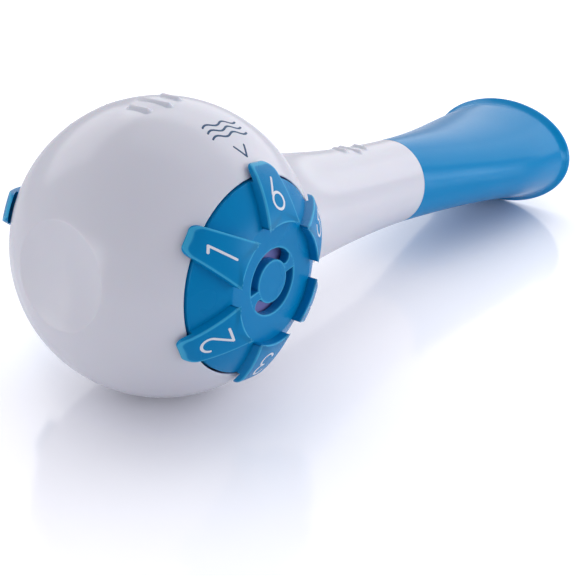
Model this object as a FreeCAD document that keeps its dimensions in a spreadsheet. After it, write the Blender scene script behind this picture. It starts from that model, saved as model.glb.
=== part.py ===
import FreeCAD, Part
import math
import operator
import os

import Sketcher

# A hand-held breathing trainer: a ball with a resistance dial on each side, a tapered neck and a soft
# mouthpiece. Every piece is drawn about the centre of the ball. The long axis is X, towards the mouth.
# A dial's pieces are drawn with their own Z along the dial's axis, away from the centre of the ball,
# and their own Y towards the top of the trainer. The finished trainer leans, as it lies on a table.

DRIVING_SIZES = {
    "Ball": {
        "BallRadius": 27.5,
        "BallWall": 2.0,
        "ThumbDishRadius": 9.65,
        "ThumbDishDepth": 1.1,
        "OpeningRadius": 17.9,
    },
    "Grip ribs": {
        "RibWidth": 2.3,
        "RibPitch": 3.9,
        "RibProud": 0.5,
        "BallRibPlace": -3.9,
        "BallRibLength": 8.4,
        "NeckRibPlace": 59.4,
        "NeckRibLength": 7.0,
        "OuterRibShare": 0.68,
    },
    "Seam between the shells": {
        "SeamMargin": 0.1,
        "SeamStep": 0.3,
        "TongueInset": 0.5,
        "TongueWall": 1.4,
        "TongueLength": 1.4,
        "TongueWeb": 1.2,
        "SealSection": 1.0,
        "PlainFit": 0.1,
    },
    "Neck": {
        "CollarLength": 1.9,
        "FlareLength": 1.2,
        "FlareDrop": 1.2,
        "FlareBend": 3.8,
        "WaistPlace": 40.0,
        "WaistRadius": 11.75,
        "WaistBend": 58.0,
        "NeckEnd": 77.0,
        "NeckEndRadius": 9.6,
        "NeckBend": 330.0,
        "NeckWall": 1.9,
        "SpigotRadius": 7.8,
        "SpigotLength": 14.0,
        "SpigotWall": 1.4,
    },
    "Mouthpiece": {
        "MouthLength": 55.5,
        "ThroatPlace": 12.0,
        "ThroatHalfWidth": 11.8,
        "ThroatHalfHeight": 9.4,
        "MiddlePlace": 27.0,
        "MiddleHalfWidth": 14.9,
        "MiddleHalfHeight": 9.5,
        "BellPlace": 41.0,
        "BellHalfWidth": 17.4,
        "BellHalfHeight": 10.4,
        "RimHalfWidth": 18.3,
        "RimHalfHeight": 11.8,
        "LipLength": 3.4,
        "LipFlat": 0.7,
        "LipRound": 0.6,
        "MouthHalfWidth": 19.4,
        "MouthHalfHeight": 13.1,
        "MouthWall": 2.0,
        "SocketFit": 0.08,
    },
    "Dials": {
        "DialGap": 0.35,
        "DialFaceRadius": 10.9,
        "DialWall": 1.8,
        "SkirtWall": 1.6,
        "SlotInnerRadius": 3.9,
        "SlotOuterRadius": 6.0,
        "SlotSweep": 150.0,
        "SlotTurn": 29.0,
        "SlotEndRadius": 1.15,
        "PaddleProud": 1.7,
        "PaddleLift": 0.6,
        "PaddleTipRadius": 20.0,
        "PaddleInnerWidth": 8.4,
        "PaddleTipWidth": 5.1,
        "PaddleCorner": 1.4,
        "PaddleTipSlope": 1.3,
        "PaddleTipFall": 0.9,
        "InhaleSettings": 6,
        "ExhaleSettings": 5,
    },
    "Metering": {
        "WellDepth": 14.3,
        "LedgeThickness": 1.5,
        "LedgeWidth": 2.5,
        "WellWall": 1.5,
        "BeadProud": 0.25,
        "BeadHeight": 0.5,
        "GasketThickness": 0.8,
        "CupFloor": 1.6,
        "CupWall": 2.0,
        "ChamberDepth": 2.8,
        "PlateThickness": 2.0,
        "RunningGap": 0.2,
        "MeterThickness": 1.8,
        "PortPitch": 9.0,
        "PortRadius": 3.4,
        "LargestHole": 3.0,
        "SmallestHole": 1.2,
        "WindowSealWall": 0.8,
        "WindowSealHeight": 0.9,
    },
    "Hub": {
        "PostRadius": 2.4,
        "PostFit": 0.05,
        "PostFlat": 1.9,
        "BossWall": 0.6,
        "ScrewRadius": 1.0,
        "ScrewLength": 6.0,
        "ScrewHeadRadius": 2.0,
        "ScrewHeadHeight": 1.3,
        "ScrewHeadTop": 1.6,
        "ScrewTip": 0.4,
        "RecessLength": 1.2,
        "RecessWidth": 0.3,
        "RecessDepth": 0.65,
        "WasherRadius": 3.8,
        "WasherThickness": 0.6,
        "EndPlay": 0.05,
    },
    "Valves": {
        "ValveThickness": 0.8,
        "ValveRadius": 13.0,
        "ValveBore": 5.6,
        "ValveLift": 1.2,
        "GuideRadius": 5.3,
        "GuideWall": 0.7,
        "WindowInset": 1.1,
        "WindowLand": 1.2,
        "WindowSweep": 100.0,
        "WindowCount": 3,
    },
    "Click springs": {
        "ClickInset": 2.55,
        "ClickThickness": 0.4,
        "ClickWidth": 1.5,
        "ClickLength": 10.0,
        "ClickFlat": 2.25,
        "ClickNose": 0.3,
        "ClickRise": 0.45,
        "ClickNotchRadius": 1.4,
        "ClickTrayDepth": 0.9,
        "KeyWidth": 2.0,
        "KeyDepth": 0.6,
    },
    "Cuts": {
        "CutMargin": 1.0,
    },
}


class Size:
    """A size: its value now, and the text that ties it to the sheet."""

    def __init__(self, value, text=None):
        self.value = float(value)
        self.text = text if text else repr(float(value))

    def joined(self, other, sign, work):
        other = other if isinstance(other, Size) else Size(other)
        return Size(work(self.value, other.value), "(%s %s %s)" % (self.text, sign, other.text))

    def __add__(self, other):
        return self.joined(other, "+", operator.add)

    def __sub__(self, other):
        return self.joined(other, "-", operator.sub)

    def __mul__(self, other):
        return self.joined(other, "*", operator.mul)

    def __truediv__(self, other):
        return self.joined(other, "/", operator.truediv)

    def __neg__(self):
        return Size(0.0) - self


def root(size):
    """The square root of a size."""
    return Size(math.sqrt(size.value), "sqrt(%s)" % size.text)


def sine(angle):
    """The sine of an angle in degrees."""
    return Size(math.sin(math.radians(angle.value)), "sin(%s)" % angle.text)


def cosine(angle):
    """The cosine of an angle in degrees."""
    return Size(math.cos(math.radians(angle.value)), "cos(%s)" % angle.text)


def height_on(sphere, away):
    """How far along its axis a sphere's surface lies, at a distance away from that axis."""
    return root(sphere * sphere - away * away)


def fill_sheet(doc):
    """The sheet of driving sizes, and a Size for each of its cells."""
    sheet = doc.addObject("Spreadsheet::Sheet", "Sizes")
    sizes = {}
    row = 1
    for group, cells in DRIVING_SIZES.items():
        sheet.set("A%d" % row, group)
        for name, value in cells.items():
            row += 1
            sheet.set("A%d" % row, name)
            sheet.set("B%d" % row, str(value))
            sheet.setAlias("B%d" % row, name)
            sizes[name] = Size(value, "Sizes." + name)
        row += 2
    doc.recompute()
    return sizes


document = FreeCAD.newDocument("BreathingTrainer")
size = fill_sheet(document)
node_shapes = []


# Sketch and feature helpers


def origin_plane(body, role):
    """One of a body's own origin planes."""
    return [part for part in body.Origin.OriginFeatures if part.Role == role][0]


def new_sketch(body, name, role="XZ_Plane", lift=None):
    """A sketch on an origin plane, lifted along the plane's normal if asked."""
    sketch = body.newObject("Sketcher::SketchObject", name)
    sketch.AttachmentSupport = [(origin_plane(body, role), "")]
    sketch.MapMode = "FlatFace"
    if lift is not None:
        sketch.AttachmentOffset = FreeCAD.Placement(FreeCAD.Vector(0, 0, lift.value), FreeCAD.Rotation())
        sketch.setExpression("AttachmentOffset.Base.z", lift.text)
    return sketch


def drive(sketch, kind, where, length):
    """A sketch dimension tied to the sheet. A zero distance becomes a point on an axis."""
    if kind in ("DistanceX", "DistanceY") and length.value == 0.0:
        axis = -2 if kind == "DistanceX" else -1
        sketch.addConstraint(Sketcher.Constraint("PointOnObject", where[0], where[1], axis))
        return
    index = sketch.addConstraint(Sketcher.Constraint(kind, *where, length.value))
    sketch.setExpression("Constraints[%d]" % index, length.text)


def vector(point):
    """The present place of a sketch point."""
    return FreeCAD.Vector(point[0].value, point[1].value, 0)


def bent_edge(start, end, radius, turns_left):
    """An arc from start to end that turns left or right, and the numbers of its two ends."""
    across = end - start
    left = FreeCAD.Vector(-across.y, across.x, 0).normalize()
    reach = math.sqrt(max(radius**2 - (across.Length / 2) ** 2, 0.0))
    centre = start + across / 2 + left * (reach if turns_left else -reach)
    circle = Part.Circle(centre, FreeCAD.Vector(0, 0, 1), radius)
    first, second = (start, end) if turns_left else (end, start)
    low = math.atan2(first.y - centre.y, first.x - centre.x)
    high = math.atan2(second.y - centre.y, second.x - centre.x)
    high += 2 * math.pi if high <= low else 0.0
    return Part.ArcOfCircle(circle, low, high), (1, 2) if turns_left else (2, 1)


def draw_outline(sketch, points, bends=None):
    """A closed outline through points. bends maps an edge's number to its arc, ("left" or "right", radius)."""
    bends = bends or {}
    ends = []
    for number, point in enumerate(points):
        start, end = vector(point), vector(points[(number + 1) % len(points)])
        if number in bends:
            turn, radius = bends[number]
            curve, numbers = bent_edge(start, end, radius.value, turn == "left")
        else:
            curve, numbers = Part.LineSegment(start, end), (1, 2)
        ends.append((sketch.addGeometry(curve), numbers))
    for number, (edge, numbers) in enumerate(ends):
        last_edge, last_numbers = ends[number - 1]
        sketch.addConstraint(Sketcher.Constraint("Coincident", last_edge, last_numbers[1], edge, numbers[0]))
        drive(sketch, "DistanceX", (edge, numbers[0]), points[number][0])
        drive(sketch, "DistanceY", (edge, numbers[0]), points[number][1])
        if number in bends:
            drive(sketch, "Radius", (edge,), bends[number][1])
    return sketch


def draw_circle(sketch, radius, centre=(Size(0.0), Size(0.0))):
    """A circle in a sketch, with its centre and radius tied to the sheet."""
    axis = FreeCAD.Vector(0, 0, 1)
    edge = sketch.addGeometry(Part.Circle(vector(centre), axis, radius.value))
    drive(sketch, "DistanceX", (edge, 3), centre[0])
    drive(sketch, "DistanceY", (edge, 3), centre[1])
    drive(sketch, "Radius", (edge,), radius)
    return edge


def draw_oval(sketch, half_width, half_height):
    """An ellipse about the sketch's origin, wider along its first axis."""
    flat = FreeCAD.Vector(half_width.value, 0, 0)
    upright = FreeCAD.Vector(0, half_height.value, 0)
    edge = sketch.addGeometry(Part.Ellipse(flat, upright, FreeCAD.Vector(0, 0, 0)))
    sketch.addConstraint(Sketcher.Constraint("Coincident", edge, 3, -1, 1))
    sketch.exposeInternalGeometry(edge)
    major, minor = edge + 1, edge + 2
    sketch.addConstraint(Sketcher.Constraint("PointOnObject", major, 1, -1))
    drive(sketch, "Distance", (major,), half_width * 2)
    drive(sketch, "Distance", (minor,), half_height * 2)


def turned(body, name, points, bends=None, axis="V_Axis", kind="PartDesign::Revolution"):
    """A profile turned through a full circle about a sketch axis, added or cut away."""
    sketch = draw_outline(new_sketch(body, name + "Profile"), points, bends)
    feature = body.newObject(kind, name)
    feature.Profile = sketch
    feature.ReferenceAxis = (sketch, [axis])
    feature.Angle = 360
    return feature


def cut_round(body, name, points, bends=None, axis="V_Axis"):
    """A profile turned about a sketch axis and cut away."""
    return turned(body, name, points, bends, axis, "PartDesign::Groove")


def raise_pad(body, name, sketch, length):
    """A pad along the sketch's normal."""
    feature = body.newObject("PartDesign::Pad", name)
    feature.Profile = sketch
    feature.Length = length.value
    feature.setExpression("Length", length.text)
    return feature


def cut_pocket(body, name, sketch, length, along_normal=False):
    """A pocket of a given depth, against the sketch's normal unless told otherwise."""
    feature = body.newObject("PartDesign::Pocket", name)
    feature.Profile = sketch
    feature.Length = length.value
    feature.setExpression("Length", length.text)
    feature.Reversed = along_normal
    return feature


def repeat_round(body, name, feature, count):
    """A feature repeated evenly about the body's Z axis."""
    pattern = body.newObject("PartDesign::PolarPattern", name)
    pattern.Originals = [feature]
    axis = [part for part in body.Origin.OriginFeatures if part.Role == "Z_Axis"][0]
    pattern.Axis = (axis, [""])
    pattern.Angle = 360
    pattern.Occurrences = int(count.value)
    pattern.setExpression("Occurrences", count.text)
    body.Tip = pattern
    return pattern


def new_body(name):
    return document.addObject("PartDesign::Body", name)


# Placing the pieces


def lean():
    """How far the long axis dips, so that ball and lip both touch the table, and the ball's height."""
    mouth_end = size["NeckEnd"] + size["MouthLength"]
    lip_place = mouth_end - size["LipRound"]
    reach = root(lip_place * lip_place + size["MouthHalfHeight"] * size["MouthHalfHeight"])
    share = size["BallRadius"] / reach
    slope = size["MouthHalfHeight"] / lip_place
    angle = math.degrees(math.asin(share.value) - math.atan(slope.value))
    return Size(angle, "(asin(%s) - atan(%s))" % (share.text, slope.text))


def shift(angle):
    """How far the ball's centre lies behind the middle of the trainer's length, as it rests."""
    nose = height_on(size["BallRadius"], size["ThumbDishRadius"]) * cosine(angle)
    nose = nose + size["ThumbDishRadius"] * sine(angle)
    mouth = (size["NeckEnd"] + size["MouthLength"]) * cosine(angle)
    mouth = mouth + (size["MouthHalfHeight"] - size["LipRound"]) * sine(angle)
    return (nose - mouth) / 2


def finish(piece, label, side=None):
    """Names a piece, leans it with the rest of the trainer and keeps it for the hand-over."""
    angle = lean()
    turn = "rotation(vector(0; 1; 0); %s)" % angle.text
    if side == "exhale":
        turn += " * rotation(vector(0; 0; 1); 180)"
    if side:
        turn += " * rotation(vector(1; 0; 0); 90)"
    place = "vector(%s; 0; %s)" % (shift(angle).text, size["BallRadius"].text)
    piece.Label = label
    piece.setExpression("Placement", "placement(%s; %s)" % (place, turn))
    node_shapes.append(piece)
    return piece


# Heights along a dial's axis, from the centre of the ball outwards

rim_of_well = height_on(size["BallRadius"], size["OpeningRadius"])
ledge_top = rim_of_well - size["WellDepth"]
cup_bottom = ledge_top + size["GasketThickness"]
cup_top = cup_bottom + size["CupFloor"]
plate_bottom = cup_top + size["ChamberDepth"]
plate_top = plate_bottom + size["PlateThickness"]
meter_bottom = plate_top + size["RunningGap"]
skirt_bottom = meter_bottom + size["MeterThickness"]
face_height = height_on(size["BallRadius"], size["DialFaceRadius"])
dial_radius = size["OpeningRadius"] - size["DialGap"]
rim_height = height_on(size["BallRadius"], dial_radius)
insert_radius = size["OpeningRadius"] - size["PlainFit"]
ledge_inside = size["OpeningRadius"] - size["LedgeWidth"]
meter_radius = dial_radius - size["PlainFit"] * 2
click_pitch = meter_radius - size["ClickInset"]
nothing = Size(0.0)

# Places along the trainer, from the centre of the ball towards the mouth

well_outside = size["OpeningRadius"] + size["WellWall"]
seam_place = well_outside + size["SeamMargin"]
tongue_radius = height_on(size["BallRadius"] - size["BallWall"], seam_place) - size["TongueInset"]
tongue_end = seam_place + size["TongueLength"]
tongue_inside = tongue_radius - size["TongueWall"]


# Shells


def rib_row(prefix, place, length, surface_radius):
    """Three grip ribs side by side: bars with round ends, trimmed to stand evenly proud of the surface."""
    bars = []
    for number, offset in enumerate((-1, 0, 1)):
        share = size["OuterRibShare"] if offset else Size(1.0)
        half = length * share / 2 - size["RibWidth"] / 2
        along = place + size["RibPitch"] * offset
        bar = document.addObject("Part::Box", "%sBar%d" % (prefix, number))
        bar.setExpression("Length", size["RibWidth"].text)
        bar.setExpression("Width", (half * 2).text)
        bar.setExpression("Height", (surface_radius * 2).text)
        bar.setExpression("Placement.Base.x", (along - size["RibWidth"] / 2).text)
        bar.setExpression("Placement.Base.y", (-half).text)
        bars.append(bar)
        for end in (-1, 1):
            tip = document.addObject("Part::Cylinder", "%sTip%d_%d" % (prefix, number, end + 1))
            tip.setExpression("Radius", (size["RibWidth"] / 2).text)
            tip.setExpression("Height", (surface_radius * 2).text)
            tip.setExpression("Placement.Base.x", along.text)
            tip.setExpression("Placement.Base.y", (half * end).text)
            bars.append(tip)
    row = document.addObject("Part::MultiFuse", prefix + "Bars")
    row.Shapes = bars
    row.Refine = True
    return row


def front_shell():
    """The ball as far as the seam: thumb dish, two open wells for the dials, and a tongue for the rear."""
    body = new_body("FrontShell")
    ball, wall = size["BallRadius"], size["BallWall"]
    inside = ball - wall
    dish_edge = -height_on(ball, size["ThumbDishRadius"])
    dish_floor = dish_edge + size["ThumbDishDepth"]
    dish_back = dish_floor + wall
    dish_bend = (
        size["ThumbDishRadius"] * size["ThumbDishRadius"] + size["ThumbDishDepth"] * size["ThumbDishDepth"]
    ) / (size["ThumbDishDepth"] * 2)
    web = seam_place - size["TongueWeb"]
    points = [
        (dish_floor, nothing),
        (dish_edge, size["ThumbDishRadius"]),
        (seam_place, height_on(ball, seam_place)),
        (seam_place, tongue_radius),
        (tongue_end, tongue_radius),
        (tongue_end, tongue_inside),
        (web, tongue_inside),
        (web, height_on(inside, web)),
        (dish_back, height_on(inside, dish_back)),
        (dish_back, nothing),
    ]
    bends = {0: ("left", dish_bend), 1: ("right", ball), 7: ("left", inside)}
    turned(body, "Ball", points, bends, axis="H_Axis")
    middle = ball - wall / 2
    for side in (-1, 1):
        ledge_bottom = ledge_top - size["LedgeThickness"]
        name = "Right" if side < 0 else "Left"
        sketch = new_sketch(body, name + "WellProfile", "YZ_Plane")
        well = [
            (ledge_bottom * side, well_outside),
            (ledge_bottom * side, ledge_inside),
            (ledge_top * side, ledge_inside),
            (ledge_top * side, size["OpeningRadius"]),
            (height_on(middle, size["OpeningRadius"]) * side, size["OpeningRadius"]),
            (height_on(middle, well_outside) * side, well_outside),
        ]
        draw_outline(sketch, well)
        feature = body.newObject("PartDesign::Revolution", name + "Well")
        feature.Profile = sketch
        feature.ReferenceAxis = (sketch, ["H_Axis"])
        feature.Angle = 360
        opening = new_sketch(body, name + "OpeningCircle", "XZ_Plane")
        draw_circle(opening, size["OpeningRadius"])
        opening.AttachmentOffset = FreeCAD.Placement(
            FreeCAD.Vector(0, 0, -side * ledge_top.value), FreeCAD.Rotation()
        )
        opening.setExpression("AttachmentOffset.Base.z", (ledge_top * -side).text)
        cut_pocket(body, name + "Opening", opening, ball, along_normal=side < 0)
        bead_bottom, bead_radius = plate_top + size["EndPlay"], size["OpeningRadius"] - size["BeadProud"]
        bead = new_sketch(body, name + "BeadProfile", "YZ_Plane")
        draw_outline(bead, [
            (bead_bottom * side, well_outside - size["WellWall"] / 2),
            (bead_bottom * side, bead_radius),
            ((bead_bottom + size["BeadHeight"] / 2) * side, bead_radius),
            ((bead_bottom + size["BeadHeight"]) * side, size["OpeningRadius"]),
            ((bead_bottom + size["BeadHeight"]) * side, well_outside - size["WellWall"] / 2),
        ])
        ring = body.newObject("PartDesign::Revolution", name + "Bead")
        ring.Profile = bead
        ring.ReferenceAxis = (bead, ["H_Axis"])
        ring.Angle = 360
        key = new_sketch(body, name + "KeyPlan", "XZ_Plane")
        key.AttachmentOffset = FreeCAD.Placement(
            FreeCAD.Vector(0, 0, -side * ledge_top.value), FreeCAD.Rotation()
        )
        key.setExpression("AttachmentOffset.Base.z", (ledge_top * -side).text)
        key_inside = insert_radius - size["KeyDepth"] + size["PlainFit"]
        key_outside = size["OpeningRadius"] + size["WellWall"] / 2
        draw_outline(key, [
            (key_inside * -side, -size["KeyWidth"] / 2),
            (key_outside * -side, -size["KeyWidth"] / 2),
            (key_outside * -side, size["KeyWidth"] / 2),
            (key_inside * -side, size["KeyWidth"] / 2),
        ])
        tab = raise_pad(body, name + "Key", key, plate_top - ledge_top - size["EndPlay"])
        tab.Reversed = side > 0
    ribs = rib_row("BallRib", size["BallRibPlace"], size["BallRibLength"], ball)
    envelope = document.addObject("Part::Sphere", "BallRibEnvelope")
    envelope.setExpression("Radius", (ball + size["RibProud"]).text)
    core = document.addObject("Part::Sphere", "BallRibCore")
    core.setExpression("Radius", (ball - wall / 2).text)
    trimmed = document.addObject("Part::Common", "BallRibTrimmed")
    trimmed.Base = ribs
    trimmed.Tool = envelope
    hollowed = document.addObject("Part::Cut", "BallRibs")
    hollowed.Base = trimmed
    hollowed.Tool = core
    shell = document.addObject("Part::MultiFuse", "FrontShellWithRibs")
    shell.Shapes = [body, hollowed]
    return finish(shell, "front_shell")


def rib_envelope():
    """A sleeve round the neck, from inside its wall to the height of the ribs, on the neck's own curve."""
    body = new_body("NeckRibEnvelope")
    start, end = (size["WaistPlace"], size["WaistRadius"]), (size["NeckEnd"], size["NeckEndRadius"])
    along, fall = end[0] - start[0], end[1] - start[1]
    span = root(along * along + fall * fall)
    reach = height_on(size["NeckBend"], span / 2)
    centre = (start[0] + along / 2 - fall * reach / span, start[1] + fall / 2 + along * reach / span)
    first = size["NeckRibPlace"] - size["RibPitch"] * 2
    last = size["NeckRibPlace"] + size["RibPitch"] * 2
    outer, inner = size["NeckBend"] - size["RibProud"], size["NeckBend"] + size["NeckWall"] / 2
    points = [
        (first, centre[1] - height_on(inner, first - centre[0])),
        (first, centre[1] - height_on(outer, first - centre[0])),
        (last, centre[1] - height_on(outer, last - centre[0])),
        (last, centre[1] - height_on(inner, last - centre[0])),
    ]
    turned(body, "Sleeve", points, {1: ("left", outer), 3: ("right", inner)}, axis="H_Axis")
    return body


def rear_shell():
    """The back of the ball, which flares out of a slim neck, and the spigot that the mouthpiece fits."""
    body = new_body("RearShell")
    skin = size["BallRadius"] + size["SeamStep"]
    seam = seam_place
    bore = tongue_radius + size["PlainFit"]
    shoulder = tongue_end + size["SealSection"]
    collar_end = seam + size["CollarLength"]
    collar_radius = height_on(skin, collar_end)
    flare_end = collar_end + size["FlareLength"]
    flare_radius = collar_radius - size["FlareDrop"]
    spigot_end = size["NeckEnd"] + size["SpigotLength"]
    spigot_bore = size["SpigotRadius"] - size["SpigotWall"]
    step_back = size["NeckEnd"] - size["NeckWall"]
    chamfer = size["SpigotWall"] / 2
    wall = size["NeckWall"]
    points = [
        (seam, bore),
        (seam, height_on(skin, seam)),
        (collar_end, collar_radius),
        (flare_end, flare_radius),
        (size["WaistPlace"], size["WaistRadius"]),
        (size["NeckEnd"], size["NeckEndRadius"]),
        (size["NeckEnd"], size["SpigotRadius"]),
        (spigot_end - chamfer, size["SpigotRadius"]),
        (spigot_end, size["SpigotRadius"] - chamfer),
        (spigot_end, spigot_bore),
        (step_back, spigot_bore),
        (step_back, size["NeckEndRadius"] - wall),
        (size["WaistPlace"], size["WaistRadius"] - wall),
        (flare_end, flare_radius - wall),
        (shoulder, flare_radius - wall),
        (shoulder, bore),
    ]
    bends = {
        1: ("right", skin),
        2: ("left", size["FlareBend"]),
        3: ("left", size["WaistBend"]),
        4: ("left", size["NeckBend"]),
        11: ("right", size["NeckBend"]),
        12: ("right", size["WaistBend"]),
    }
    turned(body, "Neck", points, bends, axis="H_Axis")
    envelope = rib_envelope()
    ribs = rib_row("NeckRib", size["NeckRibPlace"], size["NeckRibLength"], size["WaistRadius"])
    trimmed = document.addObject("Part::Common", "NeckRibs")
    trimmed.Base = ribs
    trimmed.Tool = envelope
    shell = document.addObject("Part::MultiFuse", "RearShellWithRibs")
    shell.Shapes = [body, trimmed]
    return finish(shell, "rear_shell")


def shell_seal():
    """The square ring that is squeezed between the tongue's end and the rear shell's shoulder."""
    body = new_body("ShellSeal")
    outside = tongue_inside + size["SealSection"]
    section = [
        (tongue_end, tongue_inside),
        (tongue_end, outside),
        (tongue_end + size["SealSection"], outside),
        (tongue_end + size["SealSection"], tongue_inside),
    ]
    turned(body, "Seal", section, axis="H_Axis")
    return finish(body, "shell_seal")


def mouthpiece():
    """A soft trumpet: round where it meets the neck, a wide oval with a turned-out lip at the mouth."""
    body = new_body("Mouthpiece")
    start = size["NeckEnd"]
    end = start + size["MouthLength"]
    lip_start = end - size["LipLength"]
    land = end - size["LipRound"]
    round_end = size["NeckEndRadius"]
    bore = size["SpigotRadius"] + size["SocketFit"]
    wall = size["MouthWall"]
    throat = (start + size["ThroatPlace"], size["ThroatHalfWidth"], size["ThroatHalfHeight"])
    middle = (start + size["MiddlePlace"], size["MiddleHalfWidth"], size["MiddleHalfHeight"])
    bell = (start + size["BellPlace"], size["BellHalfWidth"], size["BellHalfHeight"])
    rim = (lip_start, size["RimHalfWidth"], size["RimHalfHeight"])

    def lofted(name, rings, kind):
        sketches = []
        for number, (place, half_width, half_height) in enumerate(rings):
            sketch = new_sketch(body, "%sRing%d" % (name, number), "YZ_Plane", place)
            if half_width.value == half_height.value:
                draw_circle(sketch, half_width)
            else:
                draw_oval(sketch, half_width, half_height)
            sketches.append(sketch)
        feature = body.newObject(kind, name)
        feature.Profile = sketches[0]
        feature.Sections = sketches[1:]
        return feature

    lofted("Skin", [(start, round_end, round_end), throat, middle, bell, rim], "PartDesign::AdditiveLoft")
    lip = (land - size["LipFlat"], size["MouthHalfWidth"], size["MouthHalfHeight"])
    lofted("Flare", [rim, lip], "PartDesign::AdditiveLoft")
    lofted("Land", [lip, (land, lip[1], lip[2])], "PartDesign::AdditiveLoft")
    face = (end, lip[1] - size["LipRound"], lip[2] - size["LipRound"])
    lofted("Round", [(land, lip[1], lip[2]), face], "PartDesign::AdditiveLoft")
    socket = new_sketch(body, "SocketCircle", "YZ_Plane", start)
    draw_circle(socket, bore)
    socket_depth = size["SpigotLength"] + size["PlainFit"]
    cut_pocket(body, "Socket", socket, socket_depth, along_normal=True)
    inside = [(start + socket_depth, bore, bore)]
    inside += [(place, width - wall, height - wall) for place, width, height in (middle, bell, rim)]
    inside.append((end, rim[1] - wall / 2, rim[2] - wall / 2))
    lofted("Passage", inside, "PartDesign::SubtractiveLoft")
    return finish(body, "mouthpiece")


# Dial pieces


def paddle_plan(sketch):
    """A paddle seen along the dial's axis, pointing to the top: wide at the face, narrow at the tip."""
    inner, tip = size["DialFaceRadius"], size["PaddleTipRadius"]
    half_in, half_out = size["PaddleInnerWidth"] / 2, size["PaddleTipWidth"] / 2
    corner = size["PaddleCorner"]
    inner_height = height_on(inner, half_in)
    narrowing, length = half_in - half_out, tip - inner_height
    side = root(narrowing * narrowing + length * length)
    setback = corner * (side - narrowing) / length
    points = [
        (half_in, inner_height),
        (half_out + setback * narrowing / side, tip - setback * length / side),
        (half_out - setback, tip),
        (setback - half_out, tip),
        (-(half_out + setback * narrowing / side), tip - setback * length / side),
        (-half_in, inner_height),
    ]
    bends = {1: ("left", corner), 3: ("left", corner), 5: ("right", inner)}
    draw_outline(sketch, points, bends)


def dial(side, settings):
    """The dial that the fingers turn: a cap that carries on the ball's own curve, with raised paddles
    round a flat face, two arc slots for the air, a skirt, and a post that runs in the port plate."""
    name = side.capitalize()
    body = new_body(name + "Dial")
    ball, wall = size["BallRadius"], size["DialWall"]
    post_end = plate_bottom - size["EndPlay"]
    cap = [
        (nothing, skirt_bottom),
        (dial_radius, skirt_bottom),
        (dial_radius, rim_height),
        (size["DialFaceRadius"], face_height),
        (nothing, face_height),
    ]
    turned(body, "Cap", cap, {2: ("left", ball)})
    base = skirt_bottom + size["MeterThickness"]
    plan = new_sketch(body, "PaddlePlan", "XY_Plane", base)
    paddle_plan(plan)
    top = ball + size["PaddleProud"]
    pad = raise_pad(body, "Paddle", plan, top - base)
    repeat_round(body, "Paddles", pad, settings)
    tip, slope = size["PaddleTipRadius"], size["PaddleTipSlope"]
    beyond = tip + slope
    above = top + slope
    crown_start = size["DialFaceRadius"] - size["PlainFit"]
    crown_end = tip - slope
    tip_level = height_on(top, tip) - size["PaddleTipFall"]
    crown = [
        (crown_start, height_on(top, crown_start)),
        (crown_start, above),
        (beyond, above),
        (beyond, tip_level),
        (tip, tip_level),
        (crown_end, height_on(top, crown_end)),
    ]
    cut_round(body, "Crown", crown, {5: ("left", top)})
    under = ball + size["PaddleLift"]
    hollow = [
        (dial_radius, skirt_bottom),
        (beyond, skirt_bottom),
        (beyond, height_on(under, beyond)),
        (dial_radius, height_on(under, dial_radius)),
    ]
    cut_round(body, "Clearance", hollow, {2: ("left", under)})
    inside = ball - wall
    inner_face = face_height - wall
    skirt_inside = dial_radius - size["SkirtWall"]
    boss = size["PostRadius"] + size["BossWall"]
    cavity = [
        (boss, skirt_bottom),
        (skirt_inside, skirt_bottom),
        (skirt_inside, height_on(inside, skirt_inside)),
        (root(inside * inside - inner_face * inner_face), inner_face),
        (boss, inner_face),
    ]
    cut_round(body, "Cavity", cavity, {2: ("left", inside)})
    post = [
        (nothing, post_end),
        (size["PostFlat"], post_end),
        (size["PostFlat"], meter_bottom),
        (size["PostRadius"], meter_bottom),
        (size["PostRadius"], skirt_bottom),
        (nothing, skirt_bottom),
    ]
    turned(body, "Post", post)
    pilot = new_sketch(body, "PilotCircle", "XY_Plane", post_end)
    draw_circle(pilot, size["ScrewRadius"])
    cut_pocket(body, "Pilot", pilot, size["ScrewLength"], along_normal=True)
    flats = new_sketch(body, "DriveFlats", "XY_Plane", meter_bottom)
    for hand in (-1, 1):
        flat, outside = size["PostFlat"] * hand, (size["PostRadius"] + size["CutMargin"]) * hand
        draw_outline(flats, [
            (flat, -size["PostRadius"]),
            (outside, -size["PostRadius"]),
            (outside, size["PostRadius"]),
            (flat, size["PostRadius"]),
        ])
    cut_pocket(body, "Drive", flats, size["MeterThickness"], along_normal=True)
    slots = new_sketch(body, "SlotPlan", "XY_Plane", face_height)
    draw_slots(slots)
    cut_pocket(body, "Slots", slots, wall + size["CutMargin"])
    return finish(body, side + "_dial", side)


def draw_slots(sketch):
    """Two arc slots about the dial's axis, each with one round end and one square end."""
    inner, outer = size["SlotInnerRadius"], size["SlotOuterRadius"]
    cap = size["SlotEndRadius"]
    for hand in (0, 1):
        middle = size["SlotTurn"] + Size(90.0 + 180.0 * hand)
        ends = [middle - size["SlotSweep"] / 2, middle + size["SlotSweep"] / 2]
        corners = []
        for radius, angle in ((inner, ends[0]), (outer, ends[0]), (outer, ends[1]), (inner, ends[1])):
            corners.append((radius * cosine(angle), radius * sine(angle)))
        draw_outline(sketch, corners, {0: ("left", cap), 1: ("left", outer), 3: ("right", inner)})


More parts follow.
